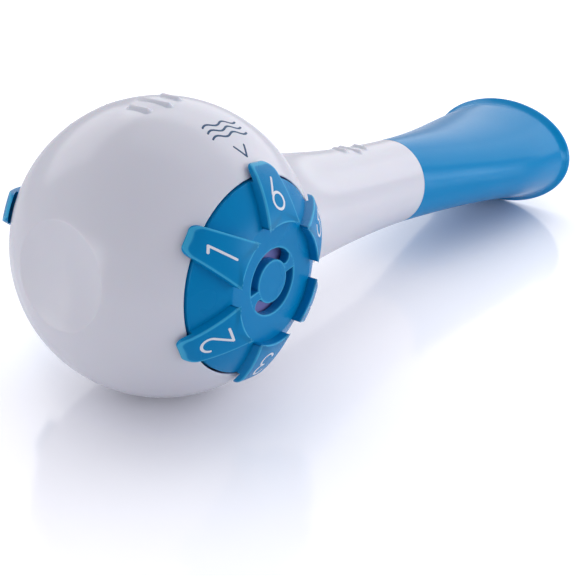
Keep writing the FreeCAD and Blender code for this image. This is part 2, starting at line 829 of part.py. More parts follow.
def meter_disc(side, settings):
    """The disc with the graded holes. It turns with the dial and brings one hole over the port."""
    name = side.capitalize()
    body = new_body(name + "MeterDisc")
    bore = height_on(size["PostRadius"], size["PostFlat"])
    disc = new_sketch(body, "Disc", "XY_Plane", meter_bottom)
    draw_circle(disc, meter_radius)
    draw_outline(disc, [
        (size["PostFlat"], -bore),
        (size["PostFlat"], bore),
        (-size["PostFlat"], bore),
        (-size["PostFlat"], -bore),
    ], {1: ("left", size["PostRadius"]), 3: ("left", size["PostRadius"])})
    raise_pad(body, "Plate", disc, size["MeterThickness"])
    step = (size["LargestHole"] - size["SmallestHole"]) / (settings - 1)
    for number in range(int(settings.value)):
        angle = Size(90.0) + Size(360.0) / settings * (number + 1)
        centre = (size["PortPitch"] * cosine(angle), size["PortPitch"] * sine(angle))
        hole = new_sketch(body, "Hole%dCircle" % (number + 1), "XY_Plane", meter_bottom)
        draw_circle(hole, size["LargestHole"] - step * number, centre)
        cut_pocket(body, "Hole%d" % (number + 1), hole, size["MeterThickness"], along_normal=True)
    notch = new_sketch(body, "NotchCircle", "XY_Plane", meter_bottom)
    draw_circle(notch, size["ClickNotchRadius"], (nothing, -click_pitch))
    notch_cut = cut_pocket(body, "Notch", notch, size["ClickRise"] + size["PlainFit"], along_normal=True)
    repeat_round(body, "Notches", notch_cut, settings)
    return finish(body, side + "_meter_disc", side)


def key_slot(body, bottom, depth):
    """The notch in a fixed disc's edge that the key of the well fits."""
    half = (size["KeyWidth"] + size["PlainFit"]) / 2
    sketch = new_sketch(body, "KeySlot", "XY_Plane", bottom)
    inner = insert_radius - size["KeyDepth"]
    draw_outline(sketch, [
        (inner, -half),
        (insert_radius + size["CutMargin"], -half),
        (insert_radius + size["CutMargin"], half),
        (inner, half),
    ])
    cut_pocket(body, "Key", sketch, depth, along_normal=True)


def port_plate(side):
    """The fixed plate that the dial runs in: a bearing hole, one air port with a seal groove round it,
    a tray for the click spring, and on the exhale side stops that keep the valve off the port."""
    name = side.capitalize()
    body = new_body(name + "PortPlate")
    plate = new_sketch(body, "Disc", "XY_Plane", plate_bottom)
    draw_circle(plate, insert_radius)
    draw_circle(plate, size["PostFlat"] + size["PostFit"])
    draw_circle(plate, size["PortRadius"], (nothing, size["PortPitch"]))
    raise_pad(body, "Plate", plate, size["PlateThickness"])
    groove = new_sketch(body, "SealGroove", "XY_Plane", plate_top)
    centre = (nothing, size["PortPitch"])
    seal_inside = size["PortRadius"] + size["WindowSealWall"] / 2
    draw_circle(groove, seal_inside, centre)
    draw_circle(groove, seal_inside + size["WindowSealWall"], centre)
    groove_depth = size["WindowSealHeight"] + size["EndPlay"] - size["RunningGap"]
    cut_pocket(body, "Groove", groove, groove_depth)
    tray = new_sketch(body, "SpringTray", "XY_Plane", plate_top)
    half_long = size["ClickLength"] / 2 + size["PlainFit"]
    half_wide = size["ClickWidth"] / 2 + size["PlainFit"]
    low, high = -click_pitch - half_wide, half_wide - click_pitch
    draw_outline(tray, [(-half_long, low), (half_long, low), (half_long, high), (-half_long, high)])
    cut_pocket(body, "Tray", tray, size["ClickTrayDepth"])
    key_slot(body, plate_bottom, size["PlateThickness"])
    if side == "exhale":
        add_stops(body, plate_bottom, downwards=True)
    return finish(body, side + "_port_plate", side)


def add_stops(body, level, downwards):
    """Short ribs that stop the valve disc before it can close the way behind it."""
    stop = new_sketch(body, "StopPlan", "XY_Plane", level)
    inner, outer = size["ValveBore"] + size["GuideWall"], size["ValveRadius"]
    half = size["GuideWall"]
    draw_outline(stop, [(-half, -outer), (half, -outer), (half, -inner), (-half, -inner)])
    height = size["ChamberDepth"] - size["ValveThickness"] - size["ValveLift"]
    pad = raise_pad(body, "Stop", stop, height)
    pad.Reversed = downwards
    repeat_round(body, "Stops", pad, size["WindowCount"])


def window_seal(side):
    """The soft ring round the port that wipes the turning disc."""
    body = new_body(side.capitalize() + "WindowSeal")
    seal_inside = size["PortRadius"] + size["WindowSealWall"] / 2
    bottom = plate_top + size["RunningGap"] - size["EndPlay"] - size["WindowSealHeight"]
    ring = new_sketch(body, "Ring", "XY_Plane", bottom)
    centre = (nothing, size["PortPitch"])
    draw_circle(ring, seal_inside, centre)
    draw_circle(ring, seal_inside + size["WindowSealWall"], centre)
    raise_pad(body, "Seal", ring, size["WindowSealHeight"])
    return finish(body, side + "_window_seal", side)


def valve_cup(side):
    """The cup under the port plate: a floor with air windows, a guide for the valve disc, a wall."""
    name = side.capitalize()
    body = new_body(name + "ValveCup")
    wall_inside = insert_radius - size["CupWall"]
    guide_top = plate_bottom - size["ValveThickness"] / 2
    cup = [
        (nothing, cup_bottom),
        (insert_radius, cup_bottom),
        (insert_radius, plate_bottom),
        (wall_inside, plate_bottom),
        (wall_inside, cup_top),
        (size["GuideRadius"], cup_top),
        (size["GuideRadius"], guide_top),
        (size["GuideRadius"] - size["GuideWall"], guide_top),
        (size["GuideRadius"] - size["GuideWall"], cup_top),
        (nothing, cup_top),
    ]
    turned(body, "Cup", cup)
    window = new_sketch(body, "AirWindow", "XY_Plane", cup_bottom)
    inner, outer = size["GuideRadius"] + size["WindowInset"], size["ValveRadius"] - size["WindowLand"]
    half = size["WindowSweep"] / 2
    points = [
        (inner * sine(half), inner * cosine(half)),
        (outer * sine(half), outer * cosine(half)),
        (-outer * sine(half), outer * cosine(half)),
        (-inner * sine(half), inner * cosine(half)),
    ]
    draw_outline(window, points, {1: ("left", outer), 3: ("right", inner)})
    cut = cut_pocket(body, "Window", window, size["CupFloor"], along_normal=True)
    repeat_round(body, "Windows", cut, size["WindowCount"])
    key_slot(body, cup_bottom, plate_bottom - cup_bottom)
    if side == "inhale":
        add_stops(body, cup_top, downwards=False)
    return finish(body, side + "_valve_cup", side)


def valve_disc(side):
    """The soft disc that lets the breath through one way only. On the inhale side it lies against the
    port plate and lifts towards the centre; on the exhale side it lies on the cup and lifts outwards."""
    body = new_body(side.capitalize() + "ValveDisc")
    bottom = plate_bottom - size["ValveThickness"] if side == "inhale" else cup_top
    ring = new_sketch(body, "Ring", "XY_Plane", bottom)
    draw_circle(ring, size["ValveRadius"])
    draw_circle(ring, size["ValveBore"])
    raise_pad(body, "Disc", ring, size["ValveThickness"])
    return finish(body, side + "_valve_disc", side)


def cup_gasket(side):
    """The flat ring between the well's ledge and the cup."""
    body = new_body(side.capitalize() + "CupGasket")
    ring = new_sketch(body, "Ring", "XY_Plane", ledge_top)
    draw_circle(ring, insert_radius - size["KeyDepth"])
    draw_circle(ring, ledge_inside)
    raise_pad(body, "Gasket", ring, size["GasketThickness"])
    return finish(body, side + "_cup_gasket", side)


def click_spring(side):
    """A steel leaf in the port plate's tray, bent up to a nose that drops into the disc's notches."""
    body = new_body(side.capitalize() + "ClickSpring")
    floor = plate_top - size["ClickTrayDepth"]
    peak = meter_bottom + size["ClickRise"]
    half, thick = size["ClickLength"] / 2, size["ClickThickness"]
    flat, nose = size["ClickFlat"], size["ClickNose"]
    profile = new_sketch(body, "Leaf", "XZ_Plane", click_pitch - size["ClickWidth"] / 2)
    points = [
        (-half, floor),
        (-flat, floor),
        (-nose, peak - thick),
        (nose, peak - thick),
        (flat, floor),
        (half, floor),
        (half, floor + thick),
        (flat, floor + thick),
        (nose, peak),
        (-nose, peak),
        (-flat, floor + thick),
        (-half, floor + thick),
    ]
    draw_outline(profile, points)
    raise_pad(body, "Spring", profile, size["ClickWidth"])
    return finish(body, side + "_click_spring", side)


def hub_washer(side):
    """The washer that keeps the dial's post in the port plate."""
    body = new_body(side.capitalize() + "HubWasher")
    bottom = plate_bottom - size["EndPlay"] - size["WasherThickness"]
    ring = new_sketch(body, "Ring", "XY_Plane", bottom)
    draw_circle(ring, size["WasherRadius"])
    draw_circle(ring, size["ScrewRadius"])
    raise_pad(body, "Washer", ring, size["WasherThickness"])
    return finish(body, side + "_hub_washer", side)


def hub_screw(side):
    """The screw that holds the washer to the post, with a cross recess in its head."""
    body = new_body(side.capitalize() + "HubScrew")
    seat = plate_bottom - size["EndPlay"] - size["WasherThickness"]
    tip = plate_bottom - size["EndPlay"] + size["ScrewLength"]
    head = seat - size["ScrewHeadHeight"]
    screw = [
        (nothing, head),
        (size["ScrewHeadTop"], head),
        (size["ScrewHeadRadius"], head + size["ScrewTip"]),
        (size["ScrewHeadRadius"], seat),
        (size["ScrewRadius"], seat),
        (size["ScrewRadius"], tip - size["ScrewRadius"]),
        (size["ScrewTip"], tip - size["PlainFit"]),
        (nothing, tip - size["PlainFit"]),
    ]
    turned(body, "Screw", screw)
    recess = new_sketch(body, "CrossRecess", "XY_Plane", head)
    long, wide = size["RecessLength"], size["RecessWidth"]
    draw_outline(recess, [
        (long, wide), (wide, wide), (wide, long), (-wide, long), (-wide, wide), (-long, wide),
        (-long, -wide), (-wide, -wide), (-wide, -long), (wide, -long), (wide, -wide), (long, -wide),
    ])
    cut_pocket(body, "Recess", recess, size["RecessDepth"], along_normal=True)
    return finish(body, side + "_hub_screw", side)


# Making the trainer

front_shell()
rear_shell()
shell_seal()
mouthpiece()
for breath, settings in (("inhale", size["InhaleSettings"]), ("exhale", size["ExhaleSettings"])):
    dial(breath, settings)
    meter_disc(breath, settings)
    port_plate(breath)
    window_seal(breath)
    valve_disc(breath)
    valve_cup(breath)
    cup_gasket(breath)
    click_spring(breath)
    hub_washer(breath)
    hub_screw(breath)
document.recompute()

# Checks before anything is written

for item in document.Objects:
    if "Invalid" in item.State or "Error" in item.State:
        raise RuntimeError("%s did not build: %s" % (item.Label, item.State))
for piece in node_shapes:
    if piece.Shape.isNull() or not piece.Shape.isValid() or not piece.Shape.Solids:
        raise RuntimeError("%s has no valid solid" % piece.Label)

os.makedirs("parts", exist_ok=True)
for piece in node_shapes:
    piece.Shape.exportStep("parts/%s.step" % piece.Label)
    print(piece.Label, len(piece.Shape.Solids), round(piece.Shape.Volume, 1))
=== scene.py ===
import math

import bmesh
import bpy
import numpy as np
from mathutils import Matrix


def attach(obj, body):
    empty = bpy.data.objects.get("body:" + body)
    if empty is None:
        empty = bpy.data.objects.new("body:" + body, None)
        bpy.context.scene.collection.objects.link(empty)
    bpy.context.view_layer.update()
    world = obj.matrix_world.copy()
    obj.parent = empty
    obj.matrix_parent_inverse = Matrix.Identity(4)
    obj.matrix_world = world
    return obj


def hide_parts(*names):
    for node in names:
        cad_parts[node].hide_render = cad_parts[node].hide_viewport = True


# The looks of a hand-held breathing trainer. Shapes are worked out in millimetres about the centre of
# the ball, with X along the trainer towards the mouth, Z up and the inhale dial on the -Y side.
# A dial's shapes have their own Z along the dial's axis and their own Y towards the top.

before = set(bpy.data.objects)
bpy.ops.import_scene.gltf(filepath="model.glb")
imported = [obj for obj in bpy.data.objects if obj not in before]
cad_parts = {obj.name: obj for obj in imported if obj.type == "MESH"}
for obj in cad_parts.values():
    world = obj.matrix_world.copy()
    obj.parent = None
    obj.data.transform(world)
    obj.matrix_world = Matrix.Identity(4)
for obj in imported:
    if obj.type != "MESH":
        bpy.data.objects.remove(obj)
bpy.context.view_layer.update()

LEAN = math.radians(6.302278)
BALL_CENTRE = np.array([-53.208234, 0.0, 27.5])

# Lengths are in millimetres. A pair is (x, r) on the neck, (x, y) on a dial and (middle, length) for ribs.

BALL_RADIUS = 27.5
BALL_WALL = 2.0
DISH_RADIUS = 9.65
DISH_DEPTH = 1.1
DISH_EDGE = 0.5
OPENING_RADIUS = 17.9
OPENING_EDGE = 0.15
NOSE_PATCH = 22.0
WELL_DEPTH = 14.3
WELL_RINGS = (0.2, 1.0)
LEDGE_TOP = math.sqrt(BALL_RADIUS**2 - OPENING_RADIUS**2) - WELL_DEPTH
LEDGE_BOTTOM = LEDGE_TOP - 1.5
LEDGE_INNER = OPENING_RADIUS - 2.5
WELL_OUTSIDE = OPENING_RADIUS + 1.5

SEAM = WELL_OUTSIDE + 0.1
SEAM_GAP = 0.25
SEAM_STEP = 0.3
SEAM_ROUND = 0.15
TONGUE_RADIUS = math.sqrt((BALL_RADIUS - BALL_WALL) ** 2 - SEAM**2) - 0.5
TONGUE_INSIDE = TONGUE_RADIUS - 1.4
TONGUE_END = SEAM + 1.4
TONGUE_SLOPE = 0.6
TONGUE_CLEAR = 0.1
SHOULDER_CLEAR = 1.0
COLLAR_END = 21.4
FLARE_END = 22.6
FLARE_DROP = 1.2
FLARE_BEND = 3.8
WAIST = (40.0, 11.75)
WAIST_BEND = 58.0
NECK_END = (77.0, 9.6)
NECK_BEND = 330.0
NECK_END_ROUND = 0.18
NECK_WALL = 1.9
SPIGOT_RADIUS = 7.8
SPIGOT_BORE = 6.4
SPIGOT_END = 91.0
SPIGOT_CHAMFER = 0.7

RIB_WIDTH = 2.3
RIB_PITCH = 3.9
RIB_PROUD = 0.6
RIB_SLOPE = 1.15
RIB_SUNK = 0.02
OUTER_RIB = 0.68
BALL_RIBS = (-3.9, 8.4)
NECK_RIBS = (59.4, 7.0)

MOUTH_PLACE = np.array([0.0, 12.0, 27.0, 41.0, 52.1])
MOUTH_WIDTH = np.array([9.6, 11.8, 14.9, 17.4, 18.3])
MOUTH_HEIGHT = np.array([9.6, 9.4, 9.5, 10.4, 11.8])
MOUTH_LENGTH = 55.5
LIP = (19.4, 13.1)
LIP_ROUND = 0.6
LIP_CURL = 0.6
LIP_LAND = 0.5
LIP_INNER_ROUND = 0.5
MOUTH_WALL = 2.0
SOCKET_RADIUS = 7.88
SOCKET_DEPTH = 14.1
SOCKET_MOUTH = 9.4

DIAL_GAP = 0.35
DIAL_RADIUS = OPENING_RADIUS - DIAL_GAP
DIAL_RIM = 0.15
FACE_RADIUS = 10.9
FACE_HEIGHT = math.sqrt(BALL_RADIUS**2 - FACE_RADIUS**2)
FACE_ROUND = 0.3
DIAL_WALL = 1.8
SKIRT_WALL = 1.6
SKIRT_BOTTOM = LEDGE_TOP + 9.2
POST_RADIUS = 1.9
POST_BOSS = 3.0
POST_END = LEDGE_TOP + 5.15
PILOT_RADIUS = 1.0
PILOT_END = POST_END + 6.0
SLOT_INNER = 3.9
SLOT_OUTER = 6.0
SLOT_SWEEP = 150.0
SLOT_TURN = 29.0
SLOT_EDGE = 0.14
SLOT_CAP = 0.55
BESIDE_SLOT = (0.12, 0.3)
DOWN_SLOT = (0.2, 0.6)
BRIDGE_STEP = 0.3
SLOT_RING = (2.9, 8.2)
SLOT_RING_GAP = 0.5
SLOT_RING_WALL = 0.8
SLOT_RING_CHAMFER = 0.2
PADDLE_TOP = 29.2
PADDLE_UNDER = 28.1
PADDLE_TIP = 20.0
PADDLE_HALF_IN = 4.2
PADDLE_HALF_OUT = 2.55
PADDLE_CORNER = 1.4
PADDLE_ROOT = 0.3
PADDLE_EDGE = 0.2
PADDLE_TIP_ROUND = 1.7
PADDLE_TIP_SHARE = 0.93
PADDLE_MIDDLE = (12.6, 18.4)
PADDLE_SUNK = 0.5
PADDLE_STEP = 0.1
EDGE_REACH = 0.13
DIGIT_FOOT = 13.2
DIGIT_HEIGHT = 4.7
DIGIT_STROKE = 0.42
PRINT_STROKE = 0.42
POINTER_STROKE = 0.42
POINTER = (-0.45, 23.4)
POINTER_HEIGHT = 3.1
AIR_SIGN = (0.0, 28.0)
AIR_SIGN_HEIGHT = 4.2
WAVE_RISE = 0.09
WAVE_LENGTH = 1.3
PRINT_PROUD = 0.03
PRINT_ORDER = 0.004
PRINT_SUNK = 0.12

NO_LIMIT = 1e3

SETTINGS = {"inhale": 6, "exhale": 5}
DIGIT_STEP = {"inhale": 60.0, "exhale": 72.0}


# Places


def to_row(points):
    """(x, y, z) mm about the ball's centre -> C + (x cos a + z sin a, y, z cos a - x sin a), in metres."""
    x, y, z = points[:, 0], points[:, 1], points[:, 2]
    turned = np.stack([x * math.cos(LEAN) + z * math.sin(LEAN), y, z * math.cos(LEAN) - x * math.sin(LEAN)], 1)
    return (turned + BALL_CENTRE) * 0.001


def side_place(points, side):
    """Dial frame -> trainer frame: inhale (x, -z, y), exhale (-x, z, y)."""
    x, y, z = points[:, 0], points[:, 1], points[:, 2]
    return np.stack([x, -z, y], 1) if side == "inhale" else np.stack([-x, z, y], 1)


def turned_about(points, angle):
    """(x, y) -> (x cos a - y sin a, x sin a + y cos a), z kept."""
    c, s = math.cos(angle), math.sin(angle)
    return np.stack([points[:, 0] * c - points[:, 1] * s, points[:, 0] * s + points[:, 1] * c, points[:, 2]], 1)


# Lines


def span(start, end, steps):
    """steps + 1 points: start + t (end - start), t from 0 to 1."""
    t = np.linspace(0.0, 1.0, steps + 1)[:, None]
    return np.array(start) + t * (np.array(end) - np.array(start))


def bow(start, end, radius, steps):
    """Points on the circle of that radius through both ends: centre + radius (cos t, sin t). A positive
    radius has its centre right of the way from start to end, a negative one left of it."""
    start, end = np.array(start, float), np.array(end, float)
    along = end - start
    length = math.hypot(*along)
    right = np.array([along[1], -along[0]]) / length
    reach = math.sqrt(radius**2 - length**2 / 4) * math.copysign(1.0, radius)
    centre = (start + end) / 2 + right * reach
    first = math.atan2(*(start - centre)[::-1])
    last = math.atan2(*(end - centre)[::-1])
    sweep = (last - first + math.pi) % (2 * math.pi) - math.pi
    t = first + sweep * np.linspace(0.0, 1.0, steps + 1)
    return centre + abs(radius) * np.stack([np.cos(t), np.sin(t)], 1)


def joined(*runs):
    """The runs one after another, each point that repeats the one before left out."""
    line = np.concatenate([np.atleast_2d(np.array(run, float)) for run in runs])
    keep = np.ones(len(line), bool)
    keep[1:] = np.abs(np.diff(line, axis=0)).max(1) > 1e-6
    return line[keep]


def soft_corner(line, corner, radius, steps=6):
    """The line with its corner point made an arc: both sides are cut r tan(turn/2) from the corner, and
    the arc runs from one cut to the other about the point r away from both sides."""
    line = np.asarray(line, float)
    at = int(np.argmin(np.hypot(*(line - np.array(corner)).T)))
    here, before, after = line[at], line[at - 1], line[(at + 1) % len(line)]
    a, b = (before - here), (after - here)
    a, b = a / math.hypot(*a), b / math.hypot(*b)
    half = math.acos(max(-1.0, min(1.0, float(a @ b)))) / 2
    back = radius / math.tan(half)
    centre = here + (a + b) / math.hypot(*(a + b)) * radius / math.sin(half)
    start, end = here + a * back - centre, here + b * back - centre
    turn = math.atan2(start[0] * end[1] - start[1] * end[0], float(start @ end))
    t = np.linspace(0.0, turn, steps + 1)[:, None]
    arc = centre + start * np.cos(t) + np.stack([-start[1], start[0]]) * np.sin(t)
    return np.concatenate([line[:at], arc, line[at + 1:]])


def smooth_through(places, values, at):
    """Cubic Hermite through (places, values): h00 y0 + h10 d m0 + h01 y1 + h11 d m1, with the slopes m of
    the neighbours' differences."""
    slope = np.gradient(values, places)
    i = np.clip(np.searchsorted(places, at) - 1, 0, len(places) - 2)
    d = places[i + 1] - places[i]
    t = (at - places[i]) / d
    return ((1 + 2 * t) * (1 - t) ** 2 * values[i] + t * (1 - t) ** 2 * d * slope[i]
            + t**2 * (3 - 2 * t) * values[i + 1] + t**2 * (t - 1) * d * slope[i + 1])


# Surfaces


def sheet(points, wrap=False, loop=False):
    """Quads on a grid of points (rows, columns, 3): corner (i, j) to (i, j+1), (i+1, j+1), (i+1, j). wrap
    joins the last column to the first, loop the last row to the first."""
    rows, columns = points.shape[:2]
    i, j = np.meshgrid(np.arange(rows if loop else rows - 1), np.arange(columns if wrap else columns - 1),
                       indexing="ij")
    down, on = (i + 1) % rows, (j + 1) % columns
    quads = np.stack([i * columns + j, i * columns + on, down * columns + on, down * columns + j], -1)
    return points.reshape(-1, 3), quads.reshape(-1, 4)


def turned_round(profile, angles):
    """(r, h) -> (r cos a, r sin a, h) for each angle a."""
    r, h = profile[:, :1], profile[:, 1:]
    a = np.broadcast_to(angles, (len(profile), len(angles)))
    return np.stack([r * np.cos(a), r * np.sin(a), h + 0 * a], -1)


def round_x(profile, angles):
    """(x, r) -> (x, r sin a, r cos a) for each angle a."""
    x, r = profile[:, :1], profile[:, 1:]
    a = np.broadcast_to(angles, (len(profile), len(angles)))
    return np.stack([x + 0 * a, r * np.sin(a), r * np.cos(a)], -1)


def make_piece(name, sheets, material, body, replaces=(), crease=38.0, edge_highlight=None):
    """One closed mesh from its sheets, in the row frame, doubles merged and faces turned outwards. The optional
    edge share holds, for each sheet, a value from 0 to 1 at its points: 1 at edges where the material paints a
    highlight, falling to 0 away from them."""
    points = np.concatenate([to_row(p) for p, _ in sheets])
    starts = np.cumsum([0] + [len(p) for p, _ in sheets[:-1]])
    quads = np.concatenate([q + start for (_, q), start in zip(sheets, starts)])
    mesh = bpy.data.meshes.new(name)
    mesh.vertices.add(len(points))
    mesh.vertices.foreach_set("co", points.astype(np.float32).ravel())
    mesh.loops.add(quads.size)
    mesh.loops.foreach_set("vertex_index", quads.astype(np.int32).ravel())
    mesh.polygons.add(len(quads))
    mesh.polygons.foreach_set("loop_start", np.arange(0, quads.size, 4, dtype=np.int32))
    mesh.update(calc_edges=True)
    # The edge share is stored on the points; the dial material uses it to paint a highlight on the edges.
    if edge_highlight is not None:
        mark = mesh.attributes.new("edge_highlight", "FLOAT", "POINT")
        mark.data.foreach_set("value", np.concatenate([np.ravel(share) for share in edge_highlight]).astype(np.float32))
    work = bmesh.new()
    work.from_mesh(mesh)
    bmesh.ops.remove_doubles(work, verts=work.verts, dist=2e-6)
    bmesh.ops.recalc_face_normals(work, faces=work.faces)
    work.to_mesh(mesh)
    work.free()
    mesh.polygons.foreach_set("use_smooth", np.ones(len(mesh.polygons), bool))
    mesh.set_sharp_from_angle(angle=math.radians(crease))
    mesh.materials.append(material)
    piece = bpy.data.objects.new(name, mesh)
    bpy.context.scene.collection.objects.link(piece)
    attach(piece, body)
    if replaces:
        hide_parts(*replaces)
    return piece


# Materials


def new_group(name, outputs, inputs):
    """An empty node group with its sockets."""
    group = bpy.data.node_groups.new(name, "ShaderNodeTree")
    for label, kind, value in inputs:
        socket = group.interface.new_socket(label, in_out="INPUT", socket_type=kind)
        socket.default_value = value
    for label, kind in outputs:
        group.interface.new_socket(label, in_out="OUTPUT", socket_type=kind)
    return group, group.nodes.new("NodeGroupInput"), group.nodes.new("NodeGroupOutput")


def moulded_skin():
    """Two noises of the place on the piece: a slow one shades the colour, a fine one gives the gloss its
    spread and the height of the faint waves that a moulded skin has."""
    group, given, out = new_group(
        "moulded skin",
        [("Color", "NodeSocketColor"), ("Roughness", "NodeSocketFloat"), ("Height", "NodeSocketFloat")],
        [("Color", "NodeSocketColor", (0.8, 0.8, 0.8, 1.0)), ("Shade", "NodeSocketColor", (0.7, 0.7, 0.7, 1.0)),
         ("Gloss", "NodeSocketFloat", 0.2), ("Spread", "NodeSocketFloat", 0.05),
         ("Scale", "NodeSocketFloat", 60.0)])
    nodes, links = group.nodes, group.links
    place = nodes.new("ShaderNodeTexCoord")
    slow = nodes.new("ShaderNodeTexNoise")
    slow.inputs["Detail"].default_value = 2.0
    links.new(place.outputs["Object"], slow.inputs["Vector"])
    links.new(given.outputs["Scale"], slow.inputs["Scale"])
    mix = nodes.new("ShaderNodeMix")
    mix.data_type = "RGBA"
    links.new(slow.outputs["Fac"], mix.inputs["Factor"])
    links.new(given.outputs["Color"], mix.inputs["A"])
    links.new(given.outputs["Shade"], mix.inputs["B"])
    links.new(mix.outputs["Result"], out.inputs["Color"])
    times = nodes.new("ShaderNodeMath")
    times.operation = "MULTIPLY_ADD"
    links.new(slow.outputs["Fac"], times.inputs[0])
    links.new(given.outputs["Spread"], times.inputs[1])
    links.new(given.outputs["Gloss"], times.inputs[2])
    links.new(times.outputs[0], out.inputs["Roughness"])
    links.new(slow.outputs["Fac"], out.inputs["Height"])
    return group


SKIN = moulded_skin()
BUMP_STRENGTH = 0.5


def moulded(name, colour, shade, gloss, spread, scale, bump, **sockets):
    """A Principled finish fed by the moulded skin."""
    material = bpy.data.materials.new(name)
    material.use_nodes = True
    nodes, links = material.node_tree.nodes, material.node_tree.links
    shader = nodes["Principled BSDF"]
    skin = nodes.new("ShaderNodeGroup")
    skin.node_tree = SKIN
    skin.inputs["Color"].default_value = (*colour, 1.0)
    skin.inputs["Shade"].default_value = (*shade, 1.0)
    skin.inputs["Gloss"].default_value = gloss
    skin.inputs["Spread"].default_value = spread
    skin.inputs["Scale"].default_value = scale
    wave = nodes.new("ShaderNodeBump")
    wave.inputs["Distance"].default_value = bump
    wave.inputs["Strength"].default_value = BUMP_STRENGTH
    links.new(skin.outputs["Height"], wave.inputs["Height"])
    links.new(wave.outputs["Normal"], shader.inputs["Normal"])
    links.new(skin.outputs["Color"], shader.inputs["Base Color"])
    links.new(skin.outputs["Roughness"], shader.inputs["Roughness"])
    for label, value in sockets.items():
        shader.inputs[label.replace("_", " ")].default_value = value
    return material


def painted_edge_highlight(material, colour, share):
    """Paints a highlight along a piece's edges: colour + (highlight colour - colour) times the stored edge
    share times share.
    """
    nodes, links = material.node_tree.nodes, material.node_tree.links
    shader = nodes["Principled BSDF"]
    skin = shader.inputs["Base Color"].links[0].from_socket
    mark = nodes.new("ShaderNodeAttribute")
    mark.attribute_name = "edge_highlight"
    part = nodes.new("ShaderNodeMath")
    part.operation = "MULTIPLY"
    part.inputs[1].default_value = share
    links.new(mark.outputs["Fac"], part.inputs[0])
    mix = nodes.new("ShaderNodeMix")
    mix.data_type = "RGBA"
    links.new(part.outputs[0], mix.inputs["Factor"])
    links.new(skin, mix.inputs["A"])
    mix.inputs["B"].default_value = (*colour, 1.0)
    links.new(mix.outputs["Result"], shader.inputs["Base Color"])
    return material


# Name, colour, shade, gloss, spread, scale and bump, then the shader's own sockets.
WHITE = moulded("white gloss shell", (0.80, 0.80, 0.84), (0.77, 0.77, 0.81), 0.16, 0.05, 60.0, 0.00001,
                Subsurface_Weight=0.12, Subsurface_Scale=0.002)
# The dial's edges get a painted highlight: a lighter cyan mixed in by the edge share.
DIAL_BLUE = painted_edge_highlight(
    moulded("dial blue", (0.0, 0.26, 0.56), (0.0, 0.235, 0.52), 0.24, 0.06, 90.0, 0.00001,
            Specular_IOR_Level=0.25, Specular_Tint=(0.4, 0.8, 1.0, 1.0), Subsurface_Weight=0.2,
            Subsurface_Scale=0.0015, Subsurface_Radius=(0.1, 0.7, 1.0)), (0.10, 0.60, 0.85), 0.55)
MOUTH_BLUE = moulded("mouthpiece blue", (0.0, 0.29, 0.62), (0.0, 0.265, 0.58), 0.16, 0.05, 70.0, 0.00002,
                     Specular_IOR_Level=0.25, Specular_Tint=(0.5, 0.85, 1.0, 1.0), Subsurface_Weight=0.12,
                     Subsurface_Scale=0.002, Subsurface_Radius=(0.1, 0.7, 1.0))
DIGIT_WHITE = moulded("digit white", (0.88, 0.90, 0.92), (0.84, 0.86, 0.90), 0.4, 0.1, 400.0, 0.000002)
PRINT_BLUE = moulded("print blue", (0.003, 0.07, 0.17), (0.002, 0.06, 0.15), 0.4, 0.1, 400.0, 0.000002)
METER = moulded("meter disc violet", (0.27, 0.27, 0.60), (0.24, 0.24, 0.54), 0.4, 0.1, 120.0, 0.00001)
INNER = moulded("inner grey", (0.42, 0.44, 0.48), (0.37, 0.39, 0.43), 0.4, 0.1, 120.0, 0.00001)
RUBBER = moulded("seal black", (0.03, 0.03, 0.035), (0.02, 0.02, 0.024), 0.55, 0.15, 200.0, 0.00001)
SILICONE = moulded("valve clear grey", (0.62, 0.66, 0.70), (0.55, 0.60, 0.64), 0.45, 0.1, 150.0, 0.00001)
STEEL = moulded("spring steel", (0.60, 0.60, 0.61), (0.52, 0.52, 0.54), 0.25, 0.12, 300.0, 0.000005,
                Metallic=1.0)


# The ball


def ball_rows():
    """Heights y of the rings about the dials' axis, on the outer skin and in the same order on the inner:
    y = r sin(s) for the nose patch's circle, and on to the seam's circle, which it only touches."""
    nose_radius = math.sqrt(BALL_RADIUS**2 - NOSE_PATCH**2)
    seam_radius = math.sqrt(BALL_RADIUS**2 - SEAM**2)
    inner_radius = math.sqrt((BALL_RADIUS - BALL_WALL) ** 2 - SEAM**2)
    turn = np.radians(np.linspace(-90.0, 90.0, 73))
    beyond = np.linspace(math.asin(nose_radius / seam_radius), math.pi / 2, 13)[1:]
    polar = np.concatenate([-beyond[::-1], np.arcsin(nose_radius * np.sin(turn) / seam_radius), beyond])
    return turn, polar, seam_radius, inner_radius, nose_radius


def skin_band(ring, height, seam, nose, columns, upper):
    """Half rings about the dials' axis: (r cos a, y, +-r sin a), a from the seam plane to the nose patch."""
    first = np.arccos(np.minimum(1.0, seam / ring))
    last = math.pi - np.arccos(np.minimum(1.0, nose / ring))
    t = np.linspace(0.0, 1.0, columns + 1)
    a = first[:, None] + (last - first)[:, None] * t
    hand = 1.0 if upper else -1.0
    return np.stack([ring[:, None] * np.cos(a), height[:, None] + 0 * a, hand * ring[:, None] * np.sin(a)], -1)


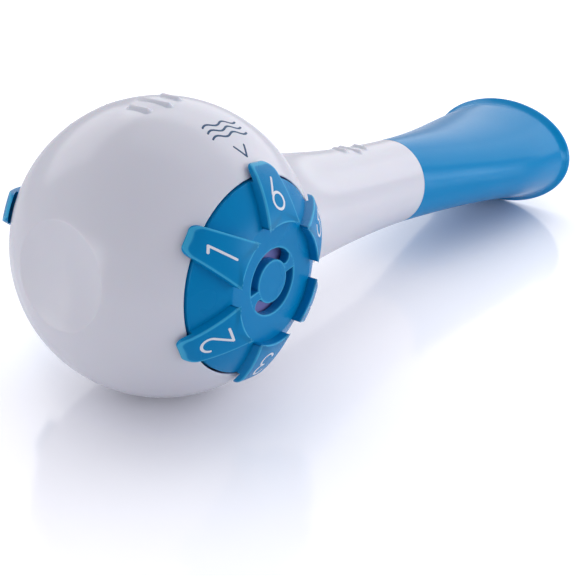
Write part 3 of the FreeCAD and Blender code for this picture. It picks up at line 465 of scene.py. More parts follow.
def well_profile():
    """(ring radius, height) from the ball's skin over the opening's soft edge, down the well, round the
    ledge and up the tube's outside to the inner skin."""
    centre_away = OPENING_RADIUS + OPENING_EDGE
    centre_up = math.sqrt((BALL_RADIUS - OPENING_EDGE) ** 2 - centre_away**2)
    lead = math.atan2(centre_up, centre_away)
    t = np.linspace(lead, math.pi, 8)
    edge = np.stack([centre_away + OPENING_EDGE * np.cos(t), centre_up + OPENING_EDGE * np.sin(t)], 1)
    skin = np.linspace(math.acos(SEAM / BALL_RADIUS), lead, 6)[1:-1]
    above = BALL_RADIUS * np.stack([np.cos(skin), np.sin(skin)], 1)
    inside = BALL_RADIUS - BALL_WALL
    tube_top = math.sqrt(inside**2 - WELL_OUTSIDE**2)
    return joined(
        above, edge,
        (OPENING_RADIUS, centre_up - WELL_RINGS[0]),
        span((OPENING_RADIUS, centre_up - WELL_RINGS[1]), (OPENING_RADIUS, LEDGE_TOP), 5),
        (LEDGE_INNER, LEDGE_TOP), (LEDGE_INNER, LEDGE_BOTTOM), (WELL_OUTSIDE, LEDGE_BOTTOM),
        span((WELL_OUTSIDE, LEDGE_BOTTOM), (WELL_OUTSIDE, tube_top), 3))


def front_shell():
    """The ball's skin as half rings about the dials' axis, both wells, the inner skin, the seam's face
    with its tongue, and the nose as rings about the long axis with the thumb dish."""
    turn, polar, seam_radius, inner_radius, nose_radius = ball_rows()
    outer_y = seam_radius * np.sin(polar)
    inner_y = inner_radius * np.sin(polar)
    outer_ring = np.sqrt(BALL_RADIUS**2 - outer_y**2)
    inner_ring = np.sqrt((BALL_RADIUS - BALL_WALL) ** 2 - inner_y**2)
    well = well_profile()
    ring = np.concatenate([outer_ring, well[:, 0], inner_ring[::-1], well[::-1, 0]])
    height = np.concatenate([outer_y, well[:, 1], inner_y[::-1], -well[::-1, 1]])
    nose = np.concatenate([np.full(len(outer_ring), NOSE_PATCH),
                           np.full(len(ring) - len(outer_ring), NO_LIMIT)])
    seam = np.concatenate([np.full(len(outer_ring), SEAM), np.full(len(well), NO_LIMIT),
                           np.full(len(inner_ring), SEAM), np.full(len(well), NO_LIMIT)])
    dish_back = DISH_DEPTH + BALL_WALL - math.sqrt(BALL_RADIUS**2 - DISH_RADIUS**2)
    sheets = []
    for upper in (True, False):
        band = skin_band(ring, height, seam, nose, 84, upper)
        band[..., 0] = np.maximum(band[..., 0], dish_back)
        sheets.append(sheet(band, loop=True))
    face = joined((SEAM, seam_radius), (SEAM, TONGUE_RADIUS), (TONGUE_END, TONGUE_RADIUS),
                  (TONGUE_END, TONGUE_INSIDE), (SEAM - TONGUE_SLOPE, TONGUE_INSIDE), (SEAM, inner_radius))
    circle = np.concatenate([polar, (math.pi - polar[::-1])[1:-1]])
    sheets.append(sheet(round_x(face, circle), wrap=True))
    start = math.asin(nose_radius / BALL_RADIUS)
    stop = math.asin(DISH_RADIUS / BALL_RADIUS)
    t = np.linspace(start, stop, 13)
    skin = np.stack([-BALL_RADIUS * np.cos(t), BALL_RADIUS * np.sin(t)], 1)
    bend = (DISH_RADIUS**2 + DISH_DEPTH**2) / (2 * DISH_DEPTH)
    floor = -math.sqrt(BALL_RADIUS**2 - DISH_RADIUS**2) + DISH_DEPTH
    t = np.linspace(math.asin(DISH_RADIUS / bend), 0.0, 14)
    dish = np.stack([floor - bend + bend * np.cos(t), bend * np.sin(t)], 1)
    line = soft_corner(joined(skin, dish), skin[-1], DISH_EDGE, 6)
    nose_circle = np.concatenate([turn, (math.pi - turn[::-1])[1:-1]])
    sheets.append(sheet(round_x(line, nose_circle), wrap=True))
    return make_piece("ball_front", sheets, WHITE, "housing", ["front_shell"])


def grip_rib(name, place, half_length, skin):
    """A pill-shaped rib: rings set in by d from its outline, height p s^2 (3 - 2 s) with s = d / slope, so
    that it swells out of the skin, laid on the skin given as a function of (x, y, height)."""
    half = RIB_WIDTH / 2
    straight = half_length - half
    a = np.linspace(0.0, 2 * math.pi, 73)[:-1]
    d = np.linspace(0.0, half, 17)
    share = np.clip(d / RIB_SLOPE, 0.0, 1.0)
    rise = (RIB_PROUD + RIB_SUNK) * share**2 * (3 - 2 * share) - RIB_SUNK
    middle = np.where(np.sin(a) >= 0, straight, -straight)
    reach = (half - d)[:, None]
    x = place + reach * np.cos(a)
    y = middle + reach * np.sin(a)
    top = skin(x, y, rise[:, None] + 0 * x)
    base = skin(np.stack([x[0], place + 0 * x[0]]), np.stack([y[0], middle]), np.full((2, len(a)), -RIB_SUNK))
    return make_piece(name, [sheet(top, wrap=True), sheet(base, wrap=True)], WHITE, "housing")


def on_ball(x, y, height):
    """(x, y, sqrt(R^2 - x^2 - y^2)) (R + h) / R."""
    z = np.sqrt(BALL_RADIUS**2 - x**2 - y**2)
    return np.stack([x, y, z], -1) * ((BALL_RADIUS + height) / BALL_RADIUS)[..., None]


def neck_radius(x):
    """The neck's concave arc: c - sqrt(B^2 - (x - m)^2) through the waist and the neck's end."""
    start, end = np.array(WAIST), np.array(NECK_END)
    along = end - start
    length = math.hypot(*along)
    left = np.array([-along[1], along[0]]) / length
    centre = (start + end) / 2 + left * math.sqrt(NECK_BEND**2 - length**2 / 4)
    return centre[1] - np.sqrt(NECK_BEND**2 - (x - centre[0]) ** 2)


def on_neck(x, y, height):
    """(x, y s, sqrt(r^2 - y^2) s) with s = (r + h) / r and r the neck's radius at x."""
    r = neck_radius(x)
    grown = (r + height) / r
    return np.stack([x, y * grown, np.sqrt(r**2 - y**2) * grown], -1)


def grip_ribs():
    """Three ribs across the ball's top and three across the neck's, the outer two shorter."""
    for where, (place, length), skin in (("ball", BALL_RIBS, on_ball), ("neck", NECK_RIBS, on_neck)):
        for number in (-1, 0, 1):
            half = length / 2 * (1.0 if number == 0 else OUTER_RIB)
            grip_rib("%s_rib_%d" % (where, number + 2), place + number * RIB_PITCH, half, skin)


def rear_shell():
    """The profile (x, r) of the ball's back, the flare, the neck, the spigot and the bore, turned about X."""
    skin = BALL_RADIUS + SEAM_STEP
    start = SEAM + SEAM_GAP
    seam_radius = math.sqrt(skin**2 - start**2)
    collar = (COLLAR_END, math.sqrt(skin**2 - COLLAR_END**2))
    flare = (FLARE_END, collar[1] - FLARE_DROP)
    bore = TONGUE_RADIUS + TONGUE_CLEAR
    shoulder = TONGUE_END + SHOULDER_CLEAR
    back = NECK_END[0] - NECK_WALL
    line = joined(
        (start, bore), (start, seam_radius),
        bow((start, seam_radius), collar, skin, 5),
        bow(collar, flare, -FLARE_BEND, 8),
        bow(flare, WAIST, -WAIST_BEND, 40),
        bow(WAIST, NECK_END, -NECK_BEND, 44),
        (NECK_END[0], SPIGOT_RADIUS),
        span((NECK_END[0], SPIGOT_RADIUS), (SPIGOT_END - SPIGOT_CHAMFER, SPIGOT_RADIUS), 4),
        (SPIGOT_END, SPIGOT_RADIUS - SPIGOT_CHAMFER), (SPIGOT_END, SPIGOT_BORE),
        span((SPIGOT_END, SPIGOT_BORE), (back, SPIGOT_BORE), 4),
        (back, NECK_END[1] - NECK_WALL),
        bow((back, NECK_END[1] - NECK_WALL), (WAIST[0], WAIST[1] - NECK_WALL), NECK_BEND, 12),
        bow((WAIST[0], WAIST[1] - NECK_WALL), (FLARE_END, flare[1] - NECK_WALL), WAIST_BEND, 12),
        (shoulder, flare[1] - NECK_WALL), (shoulder, bore))
    line = soft_corner(line, (start, seam_radius), SEAM_ROUND, 5)
    line = soft_corner(line, NECK_END, NECK_END_ROUND, 4)
    circle = np.radians(np.arange(0.0, 360.0, 2.5))
    return make_piece("neck", [sheet(round_x(line, circle), wrap=True, loop=True)], WHITE, "housing",
                      ["rear_shell"])


# The mouthpiece


def mouthpiece():
    """(x, w cos a, h sin a): the half width w and half height h run smoothly through the stations, turn
    out over the lip, and come back down the passage and the socket."""
    lip_start = MOUTH_PLACE[-1]
    at = np.linspace(0.0, lip_start, 70)
    width = smooth_through(MOUTH_PLACE, MOUTH_WIDTH, at)
    height = smooth_through(MOUTH_PLACE, MOUTH_HEIGHT, at)
    skin = np.stack([at, width, height], 1)
    t = np.linspace(0.0, 1.0, 9)[1:]
    out = t**2 * (1 + LIP_CURL - LIP_CURL * t)
    land = MOUTH_LENGTH - LIP_ROUND - LIP_LAND
    flare = np.stack([lip_start + (land - lip_start) * t, width[-1] + (LIP[0] - width[-1]) * out,
                      height[-1] + (LIP[1] - height[-1]) * out], 1)
    t = np.linspace(0.0, math.pi / 2, 7)
    drop = LIP_ROUND * (1 - np.cos(t))
    edge = np.stack([MOUTH_LENGTH - LIP_ROUND * (1 - np.sin(t)), LIP[0] - drop, LIP[1] - drop], 1)
    inner_lip = (MOUTH_WIDTH[-1] - MOUTH_WALL / 2, MOUTH_HEIGHT[-1] - MOUTH_WALL / 2)
    t = np.linspace(math.pi / 2, 0.0, 6)
    rise = LIP_INNER_ROUND * (1 - np.cos(t))
    inner_edge = np.stack([MOUTH_LENGTH - LIP_INNER_ROUND * (1 - np.sin(t)), inner_lip[0] + rise,
                           inner_lip[1] + rise], 1)
    at = np.linspace(lip_start, SOCKET_DEPTH, 50)
    share = np.clip((at - SOCKET_DEPTH) / (MOUTH_PLACE[2] - SOCKET_DEPTH), 0.0, 1.0)
    share = share**2 * (3 - 2 * share)
    wide, high = (SOCKET_RADIUS + (smooth_through(MOUTH_PLACE, half, at) - MOUTH_WALL - SOCKET_RADIUS) * share
                  for half in (MOUTH_WIDTH, MOUTH_HEIGHT))
    passage = np.stack([at, wide, high], 1)
    socket = np.array([[SOCKET_DEPTH * 0.5, SOCKET_RADIUS, SOCKET_RADIUS], [0.0, SOCKET_RADIUS, SOCKET_RADIUS],
                       [0.0, SOCKET_MOUTH, SOCKET_MOUTH]])
    line = joined(skin, flare, edge, inner_edge[:-1], passage, socket)
    a = np.radians(np.arange(0.0, 360.0, 2.0))
    place, wide, high = line[:, :1], line[:, 1:2], line[:, 2:]
    points = np.stack([NECK_END[0] + place + 0 * a, wide * np.cos(a), high * np.sin(a)], -1)
    return make_piece("mouthpiece_skin", [sheet(points, wrap=True, loop=True)], MOUTH_BLUE, "mouthpiece",
                      ["mouthpiece"])


# The dials


def slot_edges(rho, grown, hand):
    """Angles of a slot's round end and square end at a distance rho from the axis, with the outline grown
    outwards: end - (sqrt((c + g)^2 - (rho - m)^2) - k) / rho, and end + g / rho."""
    middle = math.radians(SLOT_TURN + 90.0 + 180.0 * hand)
    half = math.radians(SLOT_SWEEP / 2)
    centre = (SLOT_INNER + SLOT_OUTER) / 2
    cap = (SLOT_OUTER - SLOT_INNER) * SLOT_CAP
    flat = math.sqrt(cap**2 - (SLOT_OUTER - centre) ** 2)
    bulge = np.sqrt(np.maximum((cap + grown) ** 2 - (rho - centre) ** 2, 0.0)) - flat
    return middle - half - bulge / rho, middle + half + grown / rho


def face_columns(rho, grown, along, across):
    """Angles of all columns on a ring at rho: along each slot, then across the bridge to the next one."""
    parts = []
    for hand in (0, 1):
        round_end, square_end = slot_edges(rho, grown, hand)
        next_round = slot_edges(rho, grown, (hand + 1) % 2)[0]
        next_round = next_round + 2 * math.pi * (next_round < square_end)
        parts.append(round_end + (square_end - round_end) * np.linspace(0.0, 1.0, along + 1)[:-1])
        parts.append(square_end + (next_round - square_end) * np.linspace(0.0, 1.0, across + 1)[:-1])
    return np.concatenate(parts)


def slot_loop(grown, along, deep, hand):
    """A slot's outline: out along the inner arc, the square end, back along the outer arc, the round end."""
    low, high = SLOT_INNER - grown, SLOT_OUTER + grown
    t = np.linspace(0.0, 1.0, along + 1)
    up = np.linspace(low, high, deep + 1)
    r0, s0 = slot_edges(low, grown, hand)
    r1, s1 = slot_edges(high, grown, hand)
    ends_round, ends_square = slot_edges(up, grown, hand)
    rho = np.concatenate([np.full(along, low), up[:-1], np.full(along, high), up[::-1][:-1]])
    angle = np.concatenate([(r0 + (s0 - r0) * t)[:-1], ends_square[:-1], (s1 + (r1 - s1) * t)[:-1],
                            ends_round[::-1][:-1]])
    return np.stack([rho * np.cos(angle), rho * np.sin(angle)], 1)


def bridge(grown, height, across, deep, hand):
    """The face between two slots: angles run straight from the square end to the next round end."""
    up = np.linspace(SLOT_INNER - grown, SLOT_OUTER + grown, deep + 1)
    square_end = slot_edges(up, grown, hand)[1]
    next_round = slot_edges(up, grown, (hand + 1) % 2)[0]
    next_round = next_round + 2 * math.pi * (next_round < square_end)
    t = np.linspace(0.0, 1.0, across + 1)
    a = square_end[:, None] + (next_round - square_end)[:, None] * t
    return np.stack([up[:, None] * np.cos(a), up[:, None] * np.sin(a), height + 0 * a], -1)


def near_edge(away):
    """exp(-(away / reach)^2), from 1 at an edge to 0 a little way from it."""
    return np.exp(-(away / EDGE_REACH) ** 2)


def dial_cap(side):
    """The face, its slots, the ball's own curve outside it, the rim, the skirt, the cavity and the post."""
    along, across, deep = 60, 14, 12
    under = FACE_HEIGHT - DIAL_WALL
    inside = BALL_RADIUS - DIAL_WALL
    outer, inner = SLOT_OUTER + SLOT_EDGE, SLOT_INNER - SLOT_EDGE
    close, far = BESIDE_SLOT
    outer_top = face_columns(outer, SLOT_EDGE, along, across)
    inner_top = face_columns(inner, SLOT_EDGE, along, across)
    outer_under = face_columns(SLOT_OUTER, 0.0, along, across)
    inner_under = face_columns(SLOT_INNER, 0.0, along, across)
    t = np.linspace(math.acos(FACE_RADIUS / BALL_RADIUS), math.acos(DIAL_RADIUS / BALL_RADIUS), 14)
    slope = BALL_RADIUS * np.stack([np.cos(t), np.sin(t)], 1)
    rim = (DIAL_RADIUS, slope[-1, 1])
    skirt_in = DIAL_RADIUS - SKIRT_WALL
    t = np.linspace(math.acos(skirt_in / inside), math.acos(math.sqrt(inside**2 - under**2) / inside), 8)
    vault = inside * np.stack([np.cos(t), np.sin(t)], 1)
    line = joined(
        (outer, FACE_HEIGHT), (outer + close, FACE_HEIGHT),
        span((outer + far, FACE_HEIGHT), (FACE_RADIUS, FACE_HEIGHT), 8), slope,
        span(rim, (DIAL_RADIUS, SKIRT_BOTTOM), 4), (skirt_in, SKIRT_BOTTOM),
        span((skirt_in, SKIRT_BOTTOM), tuple(vault[0]), 3), vault,
        span(tuple(vault[-1]), (SLOT_OUTER, under), 4))
    line = soft_corner(line, (FACE_RADIUS, FACE_HEIGHT), FACE_ROUND, 4)
    line = soft_corner(line, rim, DIAL_RIM, 5)
    share = np.clip((np.arange(len(line)) - 4) / (len(line) - 8.0), 0.0, 1.0)[:, None]
    angles = outer_top + (outer_under - outer_top) * share
    r, h = line[:, :1], line[:, 1:]
    sheets = [sheet(np.stack([r * np.cos(angles), r * np.sin(angles), h + 0 * angles], -1), wrap=True)]
    # Edge shares for the painted highlight: the slots' rims and ends on the face.
    edge_highlight = [near_edge(np.abs(r - outer) + NO_LIMIT * (h < FACE_HEIGHT - 0.01) + 0 * angles)]
    centre = joined(span((0.0, FACE_HEIGHT), (inner - far, FACE_HEIGHT), 5), (inner - close, FACE_HEIGHT),
                    (inner, FACE_HEIGHT))
    sheets.append(sheet(turned_round(centre, inner_top), wrap=True))
    edge_highlight.append(near_edge(inner - centre[:, :1] + 0 * inner_top))
    post = joined((SLOT_INNER, under), span((POST_BOSS, under), (POST_BOSS, SKIRT_BOTTOM), 3),
                  (POST_RADIUS, SKIRT_BOTTOM), (POST_RADIUS, POST_END), (PILOT_RADIUS, POST_END),
                  (PILOT_RADIUS, PILOT_END), (0.0, PILOT_END))
    sheets.append(sheet(turned_round(post, inner_under), wrap=True))
    edge_highlight.append(np.zeros((len(post), len(inner_under))))
    for hand in (0, 1):
        sheets.append(sheet(bridge(SLOT_EDGE, FACE_HEIGHT, across, deep, hand)))
        sheets.append(sheet(bridge(0.0, under, across, deep, hand)))
        columns = np.minimum(np.arange(across + 1), across - np.arange(across + 1))
        flat = np.zeros((deep + 1, across + 1))
        edge_highlight += [near_edge(columns * BRIDGE_STEP + flat), flat]
        grown, plain = slot_loop(SLOT_EDGE, along, deep, hand), slot_loop(0.0, along, deep, hand)
        t = np.linspace(0.0, math.pi / 2, 6)
        plan = grown + (plain - grown) * np.sin(t)[:, None, None]
        level = np.broadcast_to((FACE_HEIGHT - SLOT_EDGE * (1 - np.cos(t)))[:, None], plan.shape[:2])
        drops = np.array([*(FACE_HEIGHT - SLOT_EDGE - down for down in DOWN_SLOT), under])
        plan = np.concatenate([plan, np.broadcast_to(plain, (len(drops), *plain.shape))])
        level = np.concatenate([level, np.broadcast_to(drops[:, None], (len(drops), len(plain)))])
        sheets.append(sheet(np.concatenate([plan, level[..., None]], -1), wrap=True))
        edge_highlight.append(near_edge(np.maximum(0.0, FACE_HEIGHT - SLOT_EDGE - level)))
    sheets = [(side_place(p, side), q) for p, q in sheets]
    return make_piece(side + "_dial_cap", sheets, DIAL_BLUE, side + "_dial", [side + "_dial"],
                      edge_highlight=edge_highlight)


def slot_ring(side):
    """A flat ring on the post under the slots, the violet floor that shows through them: its section is a
    rectangle (r, h) turned about the dial's axis."""
    top = FACE_HEIGHT - DIAL_WALL - SLOT_RING_GAP
    low = top - SLOT_RING_WALL
    inner, outer = SLOT_RING
    line = np.array([[inner, low], [inner, top], [outer - SLOT_RING_CHAMFER, top],
                     [outer, top - SLOT_RING_CHAMFER], [outer, low]])
    points = turned_round(line, np.radians(np.arange(0.0, 360.0, 4.0)))
    points, quads = sheet(points, wrap=True, loop=True)
    return make_piece(side + "_slot_ring", [(side_place(points, side), quads)], METER, side + "_dial")


def paddle_outline(steps_side=26, steps_corner=8, steps_tip=10, steps_inner=20):
    """The plan's outline and its inward normals, mirror-true: a straight side, a round corner, the tip,
    and back, closed by the arc of the face's circle."""
    inner_up = math.sqrt(FACE_RADIUS**2 - PADDLE_HALF_IN**2)
    narrowing, length = PADDLE_HALF_IN - PADDLE_HALF_OUT, PADDLE_TIP - inner_up
    side = math.hypot(narrowing, length)
    setback = PADDLE_CORNER * (side - narrowing) / length
    start = np.array([PADDLE_HALF_IN, inner_up])
    cut = np.array([PADDLE_HALF_OUT + setback * narrowing / side, PADDLE_TIP - setback * length / side])
    top = np.array([PADDLE_HALF_OUT - setback, PADDLE_TIP])
    right = joined(span(start, cut, steps_side), bow(cut, top, -PADDLE_CORNER, steps_corner),
                   span(top, (0.0, PADDLE_TIP), steps_tip))
    left = right[::-1][1:] * np.array([-1.0, 1.0])
    half_angle = math.asin(PADDLE_HALF_IN / FACE_RADIUS)
    a = np.linspace(-half_angle, half_angle, steps_inner + 1)[1:-1]
    arc = FACE_RADIUS * np.stack([np.sin(a), np.cos(a)], 1)
    foot = np.concatenate([left[-2:], arc, right[:2]])
    for corner in (left[-1], right[0]):
        foot = soft_corner(foot, corner, PADDLE_ROOT, 4)
    line = np.concatenate([right[1:], left[:-1], foot[1:-1]])
    ahead, behind = np.roll(line, -1, 0) - line, line - np.roll(line, 1, 0)
    ahead /= np.hypot(*ahead.T)[:, None]
    behind /= np.hypot(*behind.T)[:, None]
    along = ahead + behind
    along /= np.hypot(*along.T)[:, None]
    stretch = 1.0 / np.maximum(0.5, np.sqrt((1 + (ahead * behind).sum(1)) / 2))
    return line, np.stack([-along[:, 1], along[:, 0]], 1) * stretch[:, None]


def paddle_top(x, y, inset):
    """Height sqrt(T^2 - x^2 - y^2) of the crown, less the tip's roll-off b - sqrt(b^2 - s^2 (b - t)^2) at t
    from the tip, less the edge's roll-off of the same form at inset from the outline."""
    tip = np.clip(PADDLE_TIP_ROUND - (PADDLE_TIP - y), 0.0, PADDLE_TIP_ROUND)
    roll = PADDLE_TIP_ROUND - np.sqrt(PADDLE_TIP_ROUND**2 - (tip * PADDLE_TIP_SHARE) ** 2)
    near = np.clip(PADDLE_EDGE - inset, 0.0, PADDLE_EDGE)
    edge = PADDLE_EDGE - np.sqrt(np.maximum(PADDLE_EDGE**2 - near**2, 0.0))
    return np.sqrt(PADDLE_TOP**2 - x**2 - y**2) - roll - edge


def paddle(side, number):
    """A raised paddle: its crown as rings from the outline in to its middle line, its wall, its underside."""
    line, inward = paddle_outline()
    spine = np.stack([0 * line[:, 0], np.clip(line[:, 1], *PADDLE_MIDDLE)], 1)
    insets = PADDLE_EDGE * (1 - np.cos(np.linspace(0.0, math.pi / 2, 7)))
    plan = [line + inward * d for d in insets]
    shares = np.array([0.025, 0.06, 0.1, 0.15, 0.22, 0.3, 0.4, 0.52, 0.66, 0.82, 1.0])
    edge_line = plan[-1]
    plan = np.array(plan + [edge_line + (spine - edge_line) * s for s in shares])
    inset = np.concatenate([insets, np.full(len(shares), PADDLE_EDGE)])[:, None]
    crown = np.concatenate([plan, paddle_top(plan[..., 0], plan[..., 1], inset)[..., None]], -1)

    def floor(x, y):
        """Sunk into the dial up to its rim, and the overhang's underside beyond it."""
        away = np.hypot(x, y)
        step = np.clip((away - DIAL_RADIUS + PADDLE_STEP) / PADDLE_STEP, 0.0, 1.0)
        sunk = np.sqrt(BALL_RADIUS**2 - away**2) - PADDLE_SUNK
        return sunk + (np.sqrt(PADDLE_UNDER**2 - away**2) - sunk) * step

    foot = floor(line[:, 0], line[:, 1])
    drops = np.minimum(np.array([0.0, 0.12, 0.25, 0.45, NO_LIMIT])[:, None], crown[0, :, 2] - foot)
    height = crown[0, :, 2] - drops
    wall = np.concatenate([np.broadcast_to(line, (len(height), *line.shape)), height[..., None]], -1)
    below = line + (spine - line) * np.linspace(0.0, 1.0, 14)[:, None, None]
    base = np.concatenate([below, floor(below[..., 0], below[..., 1])[..., None]], -1)
    sheets = [sheet(grid, wrap=True) for grid in (crown, wall, base)]
    away = np.concatenate([0 * plan[:len(insets), :, 0], shares[:, None] * np.hypot(*(spine - edge_line).T)])
    # Edge shares for the painted highlight: the crown's rolled outline and the top of its wall.
    edge_highlight = [near_edge(away), near_edge(drops), np.zeros(base.shape[:2])]
    angle = math.radians(DIGIT_STEP[side] * number)
    sheets = [(side_place(turned_about(p, angle), side), q) for p, q in sheets]
    return make_piece("%s_paddle_%d" % (side, number + 1), sheets, DIAL_BLUE, side + "_dial",
                      crease=45.0, edge_highlight=edge_highlight)


# Print


def arc(centre, radius, start, end, steps=24):
    """(cx + a cos t, cy + b sin t), t in degrees."""
    a, b = radius if isinstance(radius, tuple) else (radius, radius)
    t = np.radians(np.linspace(start, end, steps + 1))
    return np.stack([centre[0] + a * np.cos(t), centre[1] + b * np.sin(t)], 1)


def wave(half, level, steps=48):
    """(t, level + rise sin(2 pi t / length)), t from -half to half."""
    t = np.linspace(-half, half, steps + 1)
    return np.stack([t, level + WAVE_RISE * np.sin(2 * math.pi * t / WAVE_LENGTH)], 1)


SIGNS = {
    "1": [span((-0.20, 0.93), (0.02, 1.0), 4), span((0.02, 1.0), (0.0, 0.0), 10)],
    "2": [joined(arc((0.0, 0.725), 0.275, 165, -38), span((0.217, 0.556), (-0.29, 0.0), 12)),
          span((-0.29, 0.0), (0.30, 0.0), 8)],
    "3": [arc((0.0, 0.76), 0.24, 155, -90), arc((0.0, 0.265), 0.265, 90, -155)],
    "4": [span((0.12, 1.0), (-0.32, 0.30), 12), span((-0.32, 0.30), (0.34, 0.30), 8),
          span((0.12, 1.0), (0.12, 0.0), 12)],
    "5": [span((0.25, 1.0), (-0.19, 1.0), 6), span((-0.19, 1.0), (-0.23, 0.55), 6),
          arc((0.0, 0.305), (0.30, 0.305), 139, -150)],
    "6": [joined(span((0.04, 1.0), (-0.235, 0.52), 8), arc((-0.03, 0.275), 0.275, 138, 498, 48))],
    "V": [span((-0.5, 0.78), (0.0, 0.0), 10), span((0.5, 0.78), (0.0, 0.0), 10)],
    "air": [wave(WAVE_LENGTH, level) for level in (0.15, 0.5, 0.85)],
}


def stroke(path, width, lay, proud):
    """A ribbon along the path: at each point the section runs from side to side across it, a little
    proud, and its ends close in half circles: reach w/2 sin t, width w cos t."""
    ends = np.linspace(0.0, math.pi / 2, 6)
    first = path[0] - path[1]
    last = path[-1] - path[-2]
    first, last = first / math.hypot(*first), last / math.hypot(*last)
    start = path[0] + first * (width / 2 * np.sin(ends[::-1]))[:, None]
    end = path[-1] + last * (width / 2 * np.sin(ends))[:, None]
    line = np.concatenate([start[:-1], path, end[1:]])
    breadth = np.concatenate([np.cos(ends[::-1])[:-1], np.ones(len(path)), np.cos(ends)[1:]]) * width / 2
    along = np.gradient(line, axis=0)
    along[:len(ends)] = -first
    along[-len(ends):] = last
    along /= np.hypot(*along.T)[:, None]
    across = np.stack([-along[:, 1], along[:, 0]], 1)
    section = np.array([[-1.0, -PRINT_SUNK], [-1.0, 0.6 * proud], [-0.85, proud], [0.0, proud], [0.85, proud],
                        [1.0, 0.6 * proud], [1.0, -PRINT_SUNK]])
    plan = line[:, None] + across[:, None] * breadth[:, None, None] * section[:, 0][None, :, None]
    height = np.broadcast_to(section[:, 1], plan.shape[:2])
    return sheet(lay(plan[..., 0], plan[..., 1], height), wrap=True)


def sign(name, mark, place, size_mm, width, lay, material, body):
    """A sign drawn in strokes and laid on a surface."""
    sheets = [stroke(path * size_mm + np.array(place), width, lay, PRINT_PROUD + PRINT_ORDER * order)
              for order, path in enumerate(SIGNS[mark])]
    return make_piece(name, sheets, material, body, crease=60.0)


def paddle_lay(side, number):
    """Lays (x, y, height) on a paddle's crown."""
    angle = math.radians(DIGIT_STEP[side] * number)

    def lay(x, y, height):
        grid = np.stack([x, y, paddle_top(x, y, NO_LIMIT) + height], -1)
        return side_place(turned_about(grid.reshape(-1, 3), angle), side).reshape(grid.shape)
    return lay


def ball_lay(side):
    """Lays (x along the ring, y outwards from the dial's axis, height) on the ball above a dial."""
    def lay(x, y, height):
        turn = x / y
        away = np.sin(y / BALL_RADIUS) * (BALL_RADIUS + height)
        up = np.cos(y / BALL_RADIUS) * (BALL_RADIUS + height)
        grid = np.stack([away * np.sin(turn), away * np.cos(turn), up], -1)
        return side_place(grid.reshape(-1, 3), side).reshape(grid.shape)
    return lay


def dials():
    """Each side's cap, its paddles with their numbers, the pointer and the sign for air above it."""
    for side, settings in SETTINGS.items():
        dial_cap(side)
        slot_ring(side)
        for number in range(settings):
            paddle(side, number)
            digit = str(settings if number == 0 else number)
            sign("%s_digit_%s" % (side, digit), digit, (0.0, DIGIT_FOOT), DIGIT_HEIGHT, DIGIT_STROKE,
                 paddle_lay(side, number), DIGIT_WHITE, side + "_dial")
        lay = ball_lay(side)
        sign(side + "_pointer", "V", POINTER, POINTER_HEIGHT, POINTER_STROKE, lay, PRINT_BLUE, "housing")
        sign(side + "_air_sign", "air", AIR_SIGN, AIR_SIGN_HEIGHT, PRINT_STROKE, lay, PRINT_BLUE, "housing")


# Finishes of the pieces that keep their own shape

FINISH = {
    "shell_seal": (RUBBER, "seal"),
    "meter_disc": (METER, "meter"),
    "port_plate": (INNER, "inner"),
    "window_seal": (RUBBER, "seal"),
    "valve_disc": (SILICONE, "valve"),
    "valve_cup": (INNER, "inner"),
    "cup_gasket": (RUBBER, "seal"),
    "click_spring": (STEEL, "spring"),
    "hub_washer": (STEEL, "spring"),
    "hub_screw": (STEEL, "spring"),
}


def finish_nodes():
    """Each inner piece gets its finish."""
    for name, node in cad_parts.items():
        kind = name.split("_", 1)[1] if name.startswith(("inhale_", "exhale_")) else name
        if kind in FINISH and not node.hide_render:
            material, slot = FINISH[kind]
            node.data.materials.clear()
            node.data.materials.append(material)


# The studio

CAMERA_PLACE = (-0.214649, -0.148399, 0.117328)
CAMERA_AHEAD = (0.73273, 0.5439, -0.40901)
CAMERA_RIGHT = (0.60039, -0.7996, 0.01237)
CAMERA_LENS = 80.68

# Name, place and aim in metres, width and height, radiance, colour.
SOFT_BOXES = [
    ("back panel", (0.62, 0.10, 0.42), (0.0, 0.0, 0.02), (1.3, 0.7), 0.85, (1.0, 1.0, 1.0)),
    ("overhead box", (0.25, 0.07, 0.62), (-0.02, 0.0, 0.03), (0.6, 0.6), 0.4, (1.0, 1.0, 1.0)),
    ("right box", (0.26, -0.60, 0.12), (-0.02, 0.0, 0.03), (0.5, 0.22), 4.0, (0.90, 0.92, 1.0)),
    ("left box", (-0.62, 0.24, 0.12), (-0.05, 0.0, 0.03), (0.5, 0.22), 2.3, (1.0, 1.0, 1.0)),
    ("far left box", (0.08, 0.55, 0.40), (-0.02, 0.0, 0.03), (0.6, 0.4), 1.0, (1.0, 1.0, 1.0)),
    ("far right box", (0.56, -0.25, 0.28), (-0.02, 0.0, 0.03), (0.5, 0.4), 0.4, (1.0, 1.0, 1.0)),
]
ROOM_LIGHT = (0.42, 0.42, 0.48, 1.0)
WHITE_LIGHT = (1.0, 1.0, 1.0, 1.0)
TABLE_HALF = 3.0
TABLE_GLOSS = 0.12
TABLE_COLOUR = (0.93, 0.93, 0.96, 1.0)
TABLE_SEEN = (0.97, 0.97, 1.0, 1.0)
TABLE_GLOW = (0.42, 0.42, 0.42, 1.0)
TABLE_PAINTED_SHADOW_REACH = 0.07


def stand(thing, place, right, up, back):
    """Stands a camera or a lamp at its place: the matrix's columns are right, up, back and the place."""
    rows = [[right[row], up[row], back[row], place[row]] for row in range(3)]
    thing.matrix_world = Matrix(rows + [[0.0, 0.0, 0.0, 1.0]])
    bpy.context.scene.collection.objects.link(thing)


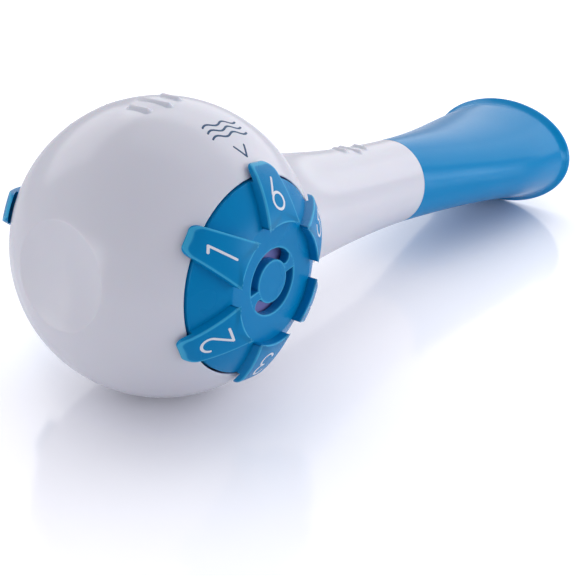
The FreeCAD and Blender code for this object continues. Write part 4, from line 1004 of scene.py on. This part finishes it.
def camera():
    """The camera at the photograph's viewing angle."""
    ahead = np.array(CAMERA_AHEAD) / np.linalg.norm(CAMERA_AHEAD)
    right = np.array(CAMERA_RIGHT) - ahead * (np.array(CAMERA_RIGHT) @ ahead)
    right /= np.linalg.norm(right)
    data = bpy.data.cameras.new("camera")
    data.lens = CAMERA_LENS
    data.sensor_width = 36.0
    data.clip_start = 0.01
    eye = bpy.data.objects.new("camera", data)
    stand(eye, CAMERA_PLACE, right, np.cross(right, ahead), -ahead)
    bpy.context.scene.camera = eye


def soft_box(name, place, aim, size_m, radiance, colour):
    """A soft box that faces its aim: its power is radiance times area times pi."""
    data = bpy.data.lights.new(name, "AREA")
    data.shape = "RECTANGLE"
    data.size, data.size_y = size_m
    data.energy = radiance * size_m[0] * size_m[1] * math.pi
    data.color = colour
    light = bpy.data.objects.new(name, data)
    back = np.array(place) - np.array(aim)
    back /= np.linalg.norm(back)
    right = np.cross((0.0, 0.0, 1.0), back)
    right /= np.linalg.norm(right)
    stand(light, place, right, np.cross(back, right), back)
    light.visible_camera = False


def white_table():
    """A wide glossy white table. The camera sees it glow white where it is open, and the glow fades into a
    painted contact shadow near the object: glow open^2, with open the share of the sky up to 70 mm away that
    nothing covers."""
    points = [[-TABLE_HALF, -TABLE_HALF, 0.0], [TABLE_HALF, -TABLE_HALF, 0.0],
              [TABLE_HALF, TABLE_HALF, 0.0], [-TABLE_HALF, TABLE_HALF, 0.0]]
    mesh = bpy.data.meshes.new("table")
    mesh.from_pydata(points, [], [(0, 1, 2, 3)])
    floor = bpy.data.objects.new("table", mesh)
    bpy.context.scene.collection.objects.link(floor)
    material = bpy.data.materials.new("white table")
    material.use_nodes = True
    nodes, links = material.node_tree.nodes, material.node_tree.links
    shader = nodes["Principled BSDF"]
    shader.inputs["Roughness"].default_value = TABLE_GLOSS
    shader.inputs["Emission Color"].default_value = TABLE_GLOW
    path = nodes.new("ShaderNodeLightPath")
    mix = nodes.new("ShaderNodeMix")
    mix.data_type = "RGBA"
    mix.inputs["A"].default_value = TABLE_COLOUR
    mix.inputs["B"].default_value = TABLE_SEEN
    links.new(path.outputs["Is Camera Ray"], mix.inputs["Factor"])
    links.new(mix.outputs["Result"], shader.inputs["Base Color"])
    # Ambient occlusion cuts the table's glow near the object: a painted contact shadow.
    painted_shadow = nodes.new("ShaderNodeAmbientOcclusion")
    painted_shadow.inputs["Distance"].default_value = TABLE_PAINTED_SHADOW_REACH
    square = nodes.new("ShaderNodeMath")
    square.operation = "POWER"
    square.inputs[1].default_value = 2.0
    links.new(painted_shadow.outputs["AO"], square.inputs[0])
    seen = nodes.new("ShaderNodeMath")
    seen.operation = "MULTIPLY"
    links.new(square.outputs[0], seen.inputs[0])
    links.new(path.outputs["Is Camera Ray"], seen.inputs[1])
    links.new(seen.outputs[0], shader.inputs["Emission Strength"])
    mesh.materials.append(material)


def pale_room():
    """Even pale light all round; the camera sees plain white."""
    world = bpy.data.worlds.new("pale room")
    bpy.context.scene.world = world
    world.use_nodes = True
    nodes, links = world.node_tree.nodes, world.node_tree.links
    even = nodes["Background"]
    even.inputs["Color"].default_value = ROOM_LIGHT
    bright = nodes.new("ShaderNodeBackground")
    bright.inputs["Color"].default_value = WHITE_LIGHT
    path = nodes.new("ShaderNodeLightPath")
    seen = nodes.new("ShaderNodeMixShader")
    links.new(path.outputs["Is Camera Ray"], seen.inputs["Fac"])
    links.new(even.outputs["Background"], seen.inputs[1])
    links.new(bright.outputs["Background"], seen.inputs[2])
    links.new(seen.outputs["Shader"], nodes["World Output"].inputs["Surface"])


def studio():
    """The table, the room, and soft boxes behind, above and on both sides."""
    white_table()
    pale_room()
    for box in SOFT_BOXES:
        soft_box(*box)
    bpy.context.scene.view_settings.view_transform = "Standard"


front_shell()
grip_ribs()
rear_shell()
mouthpiece()
dials()
finish_nodes()
studio()
camera()
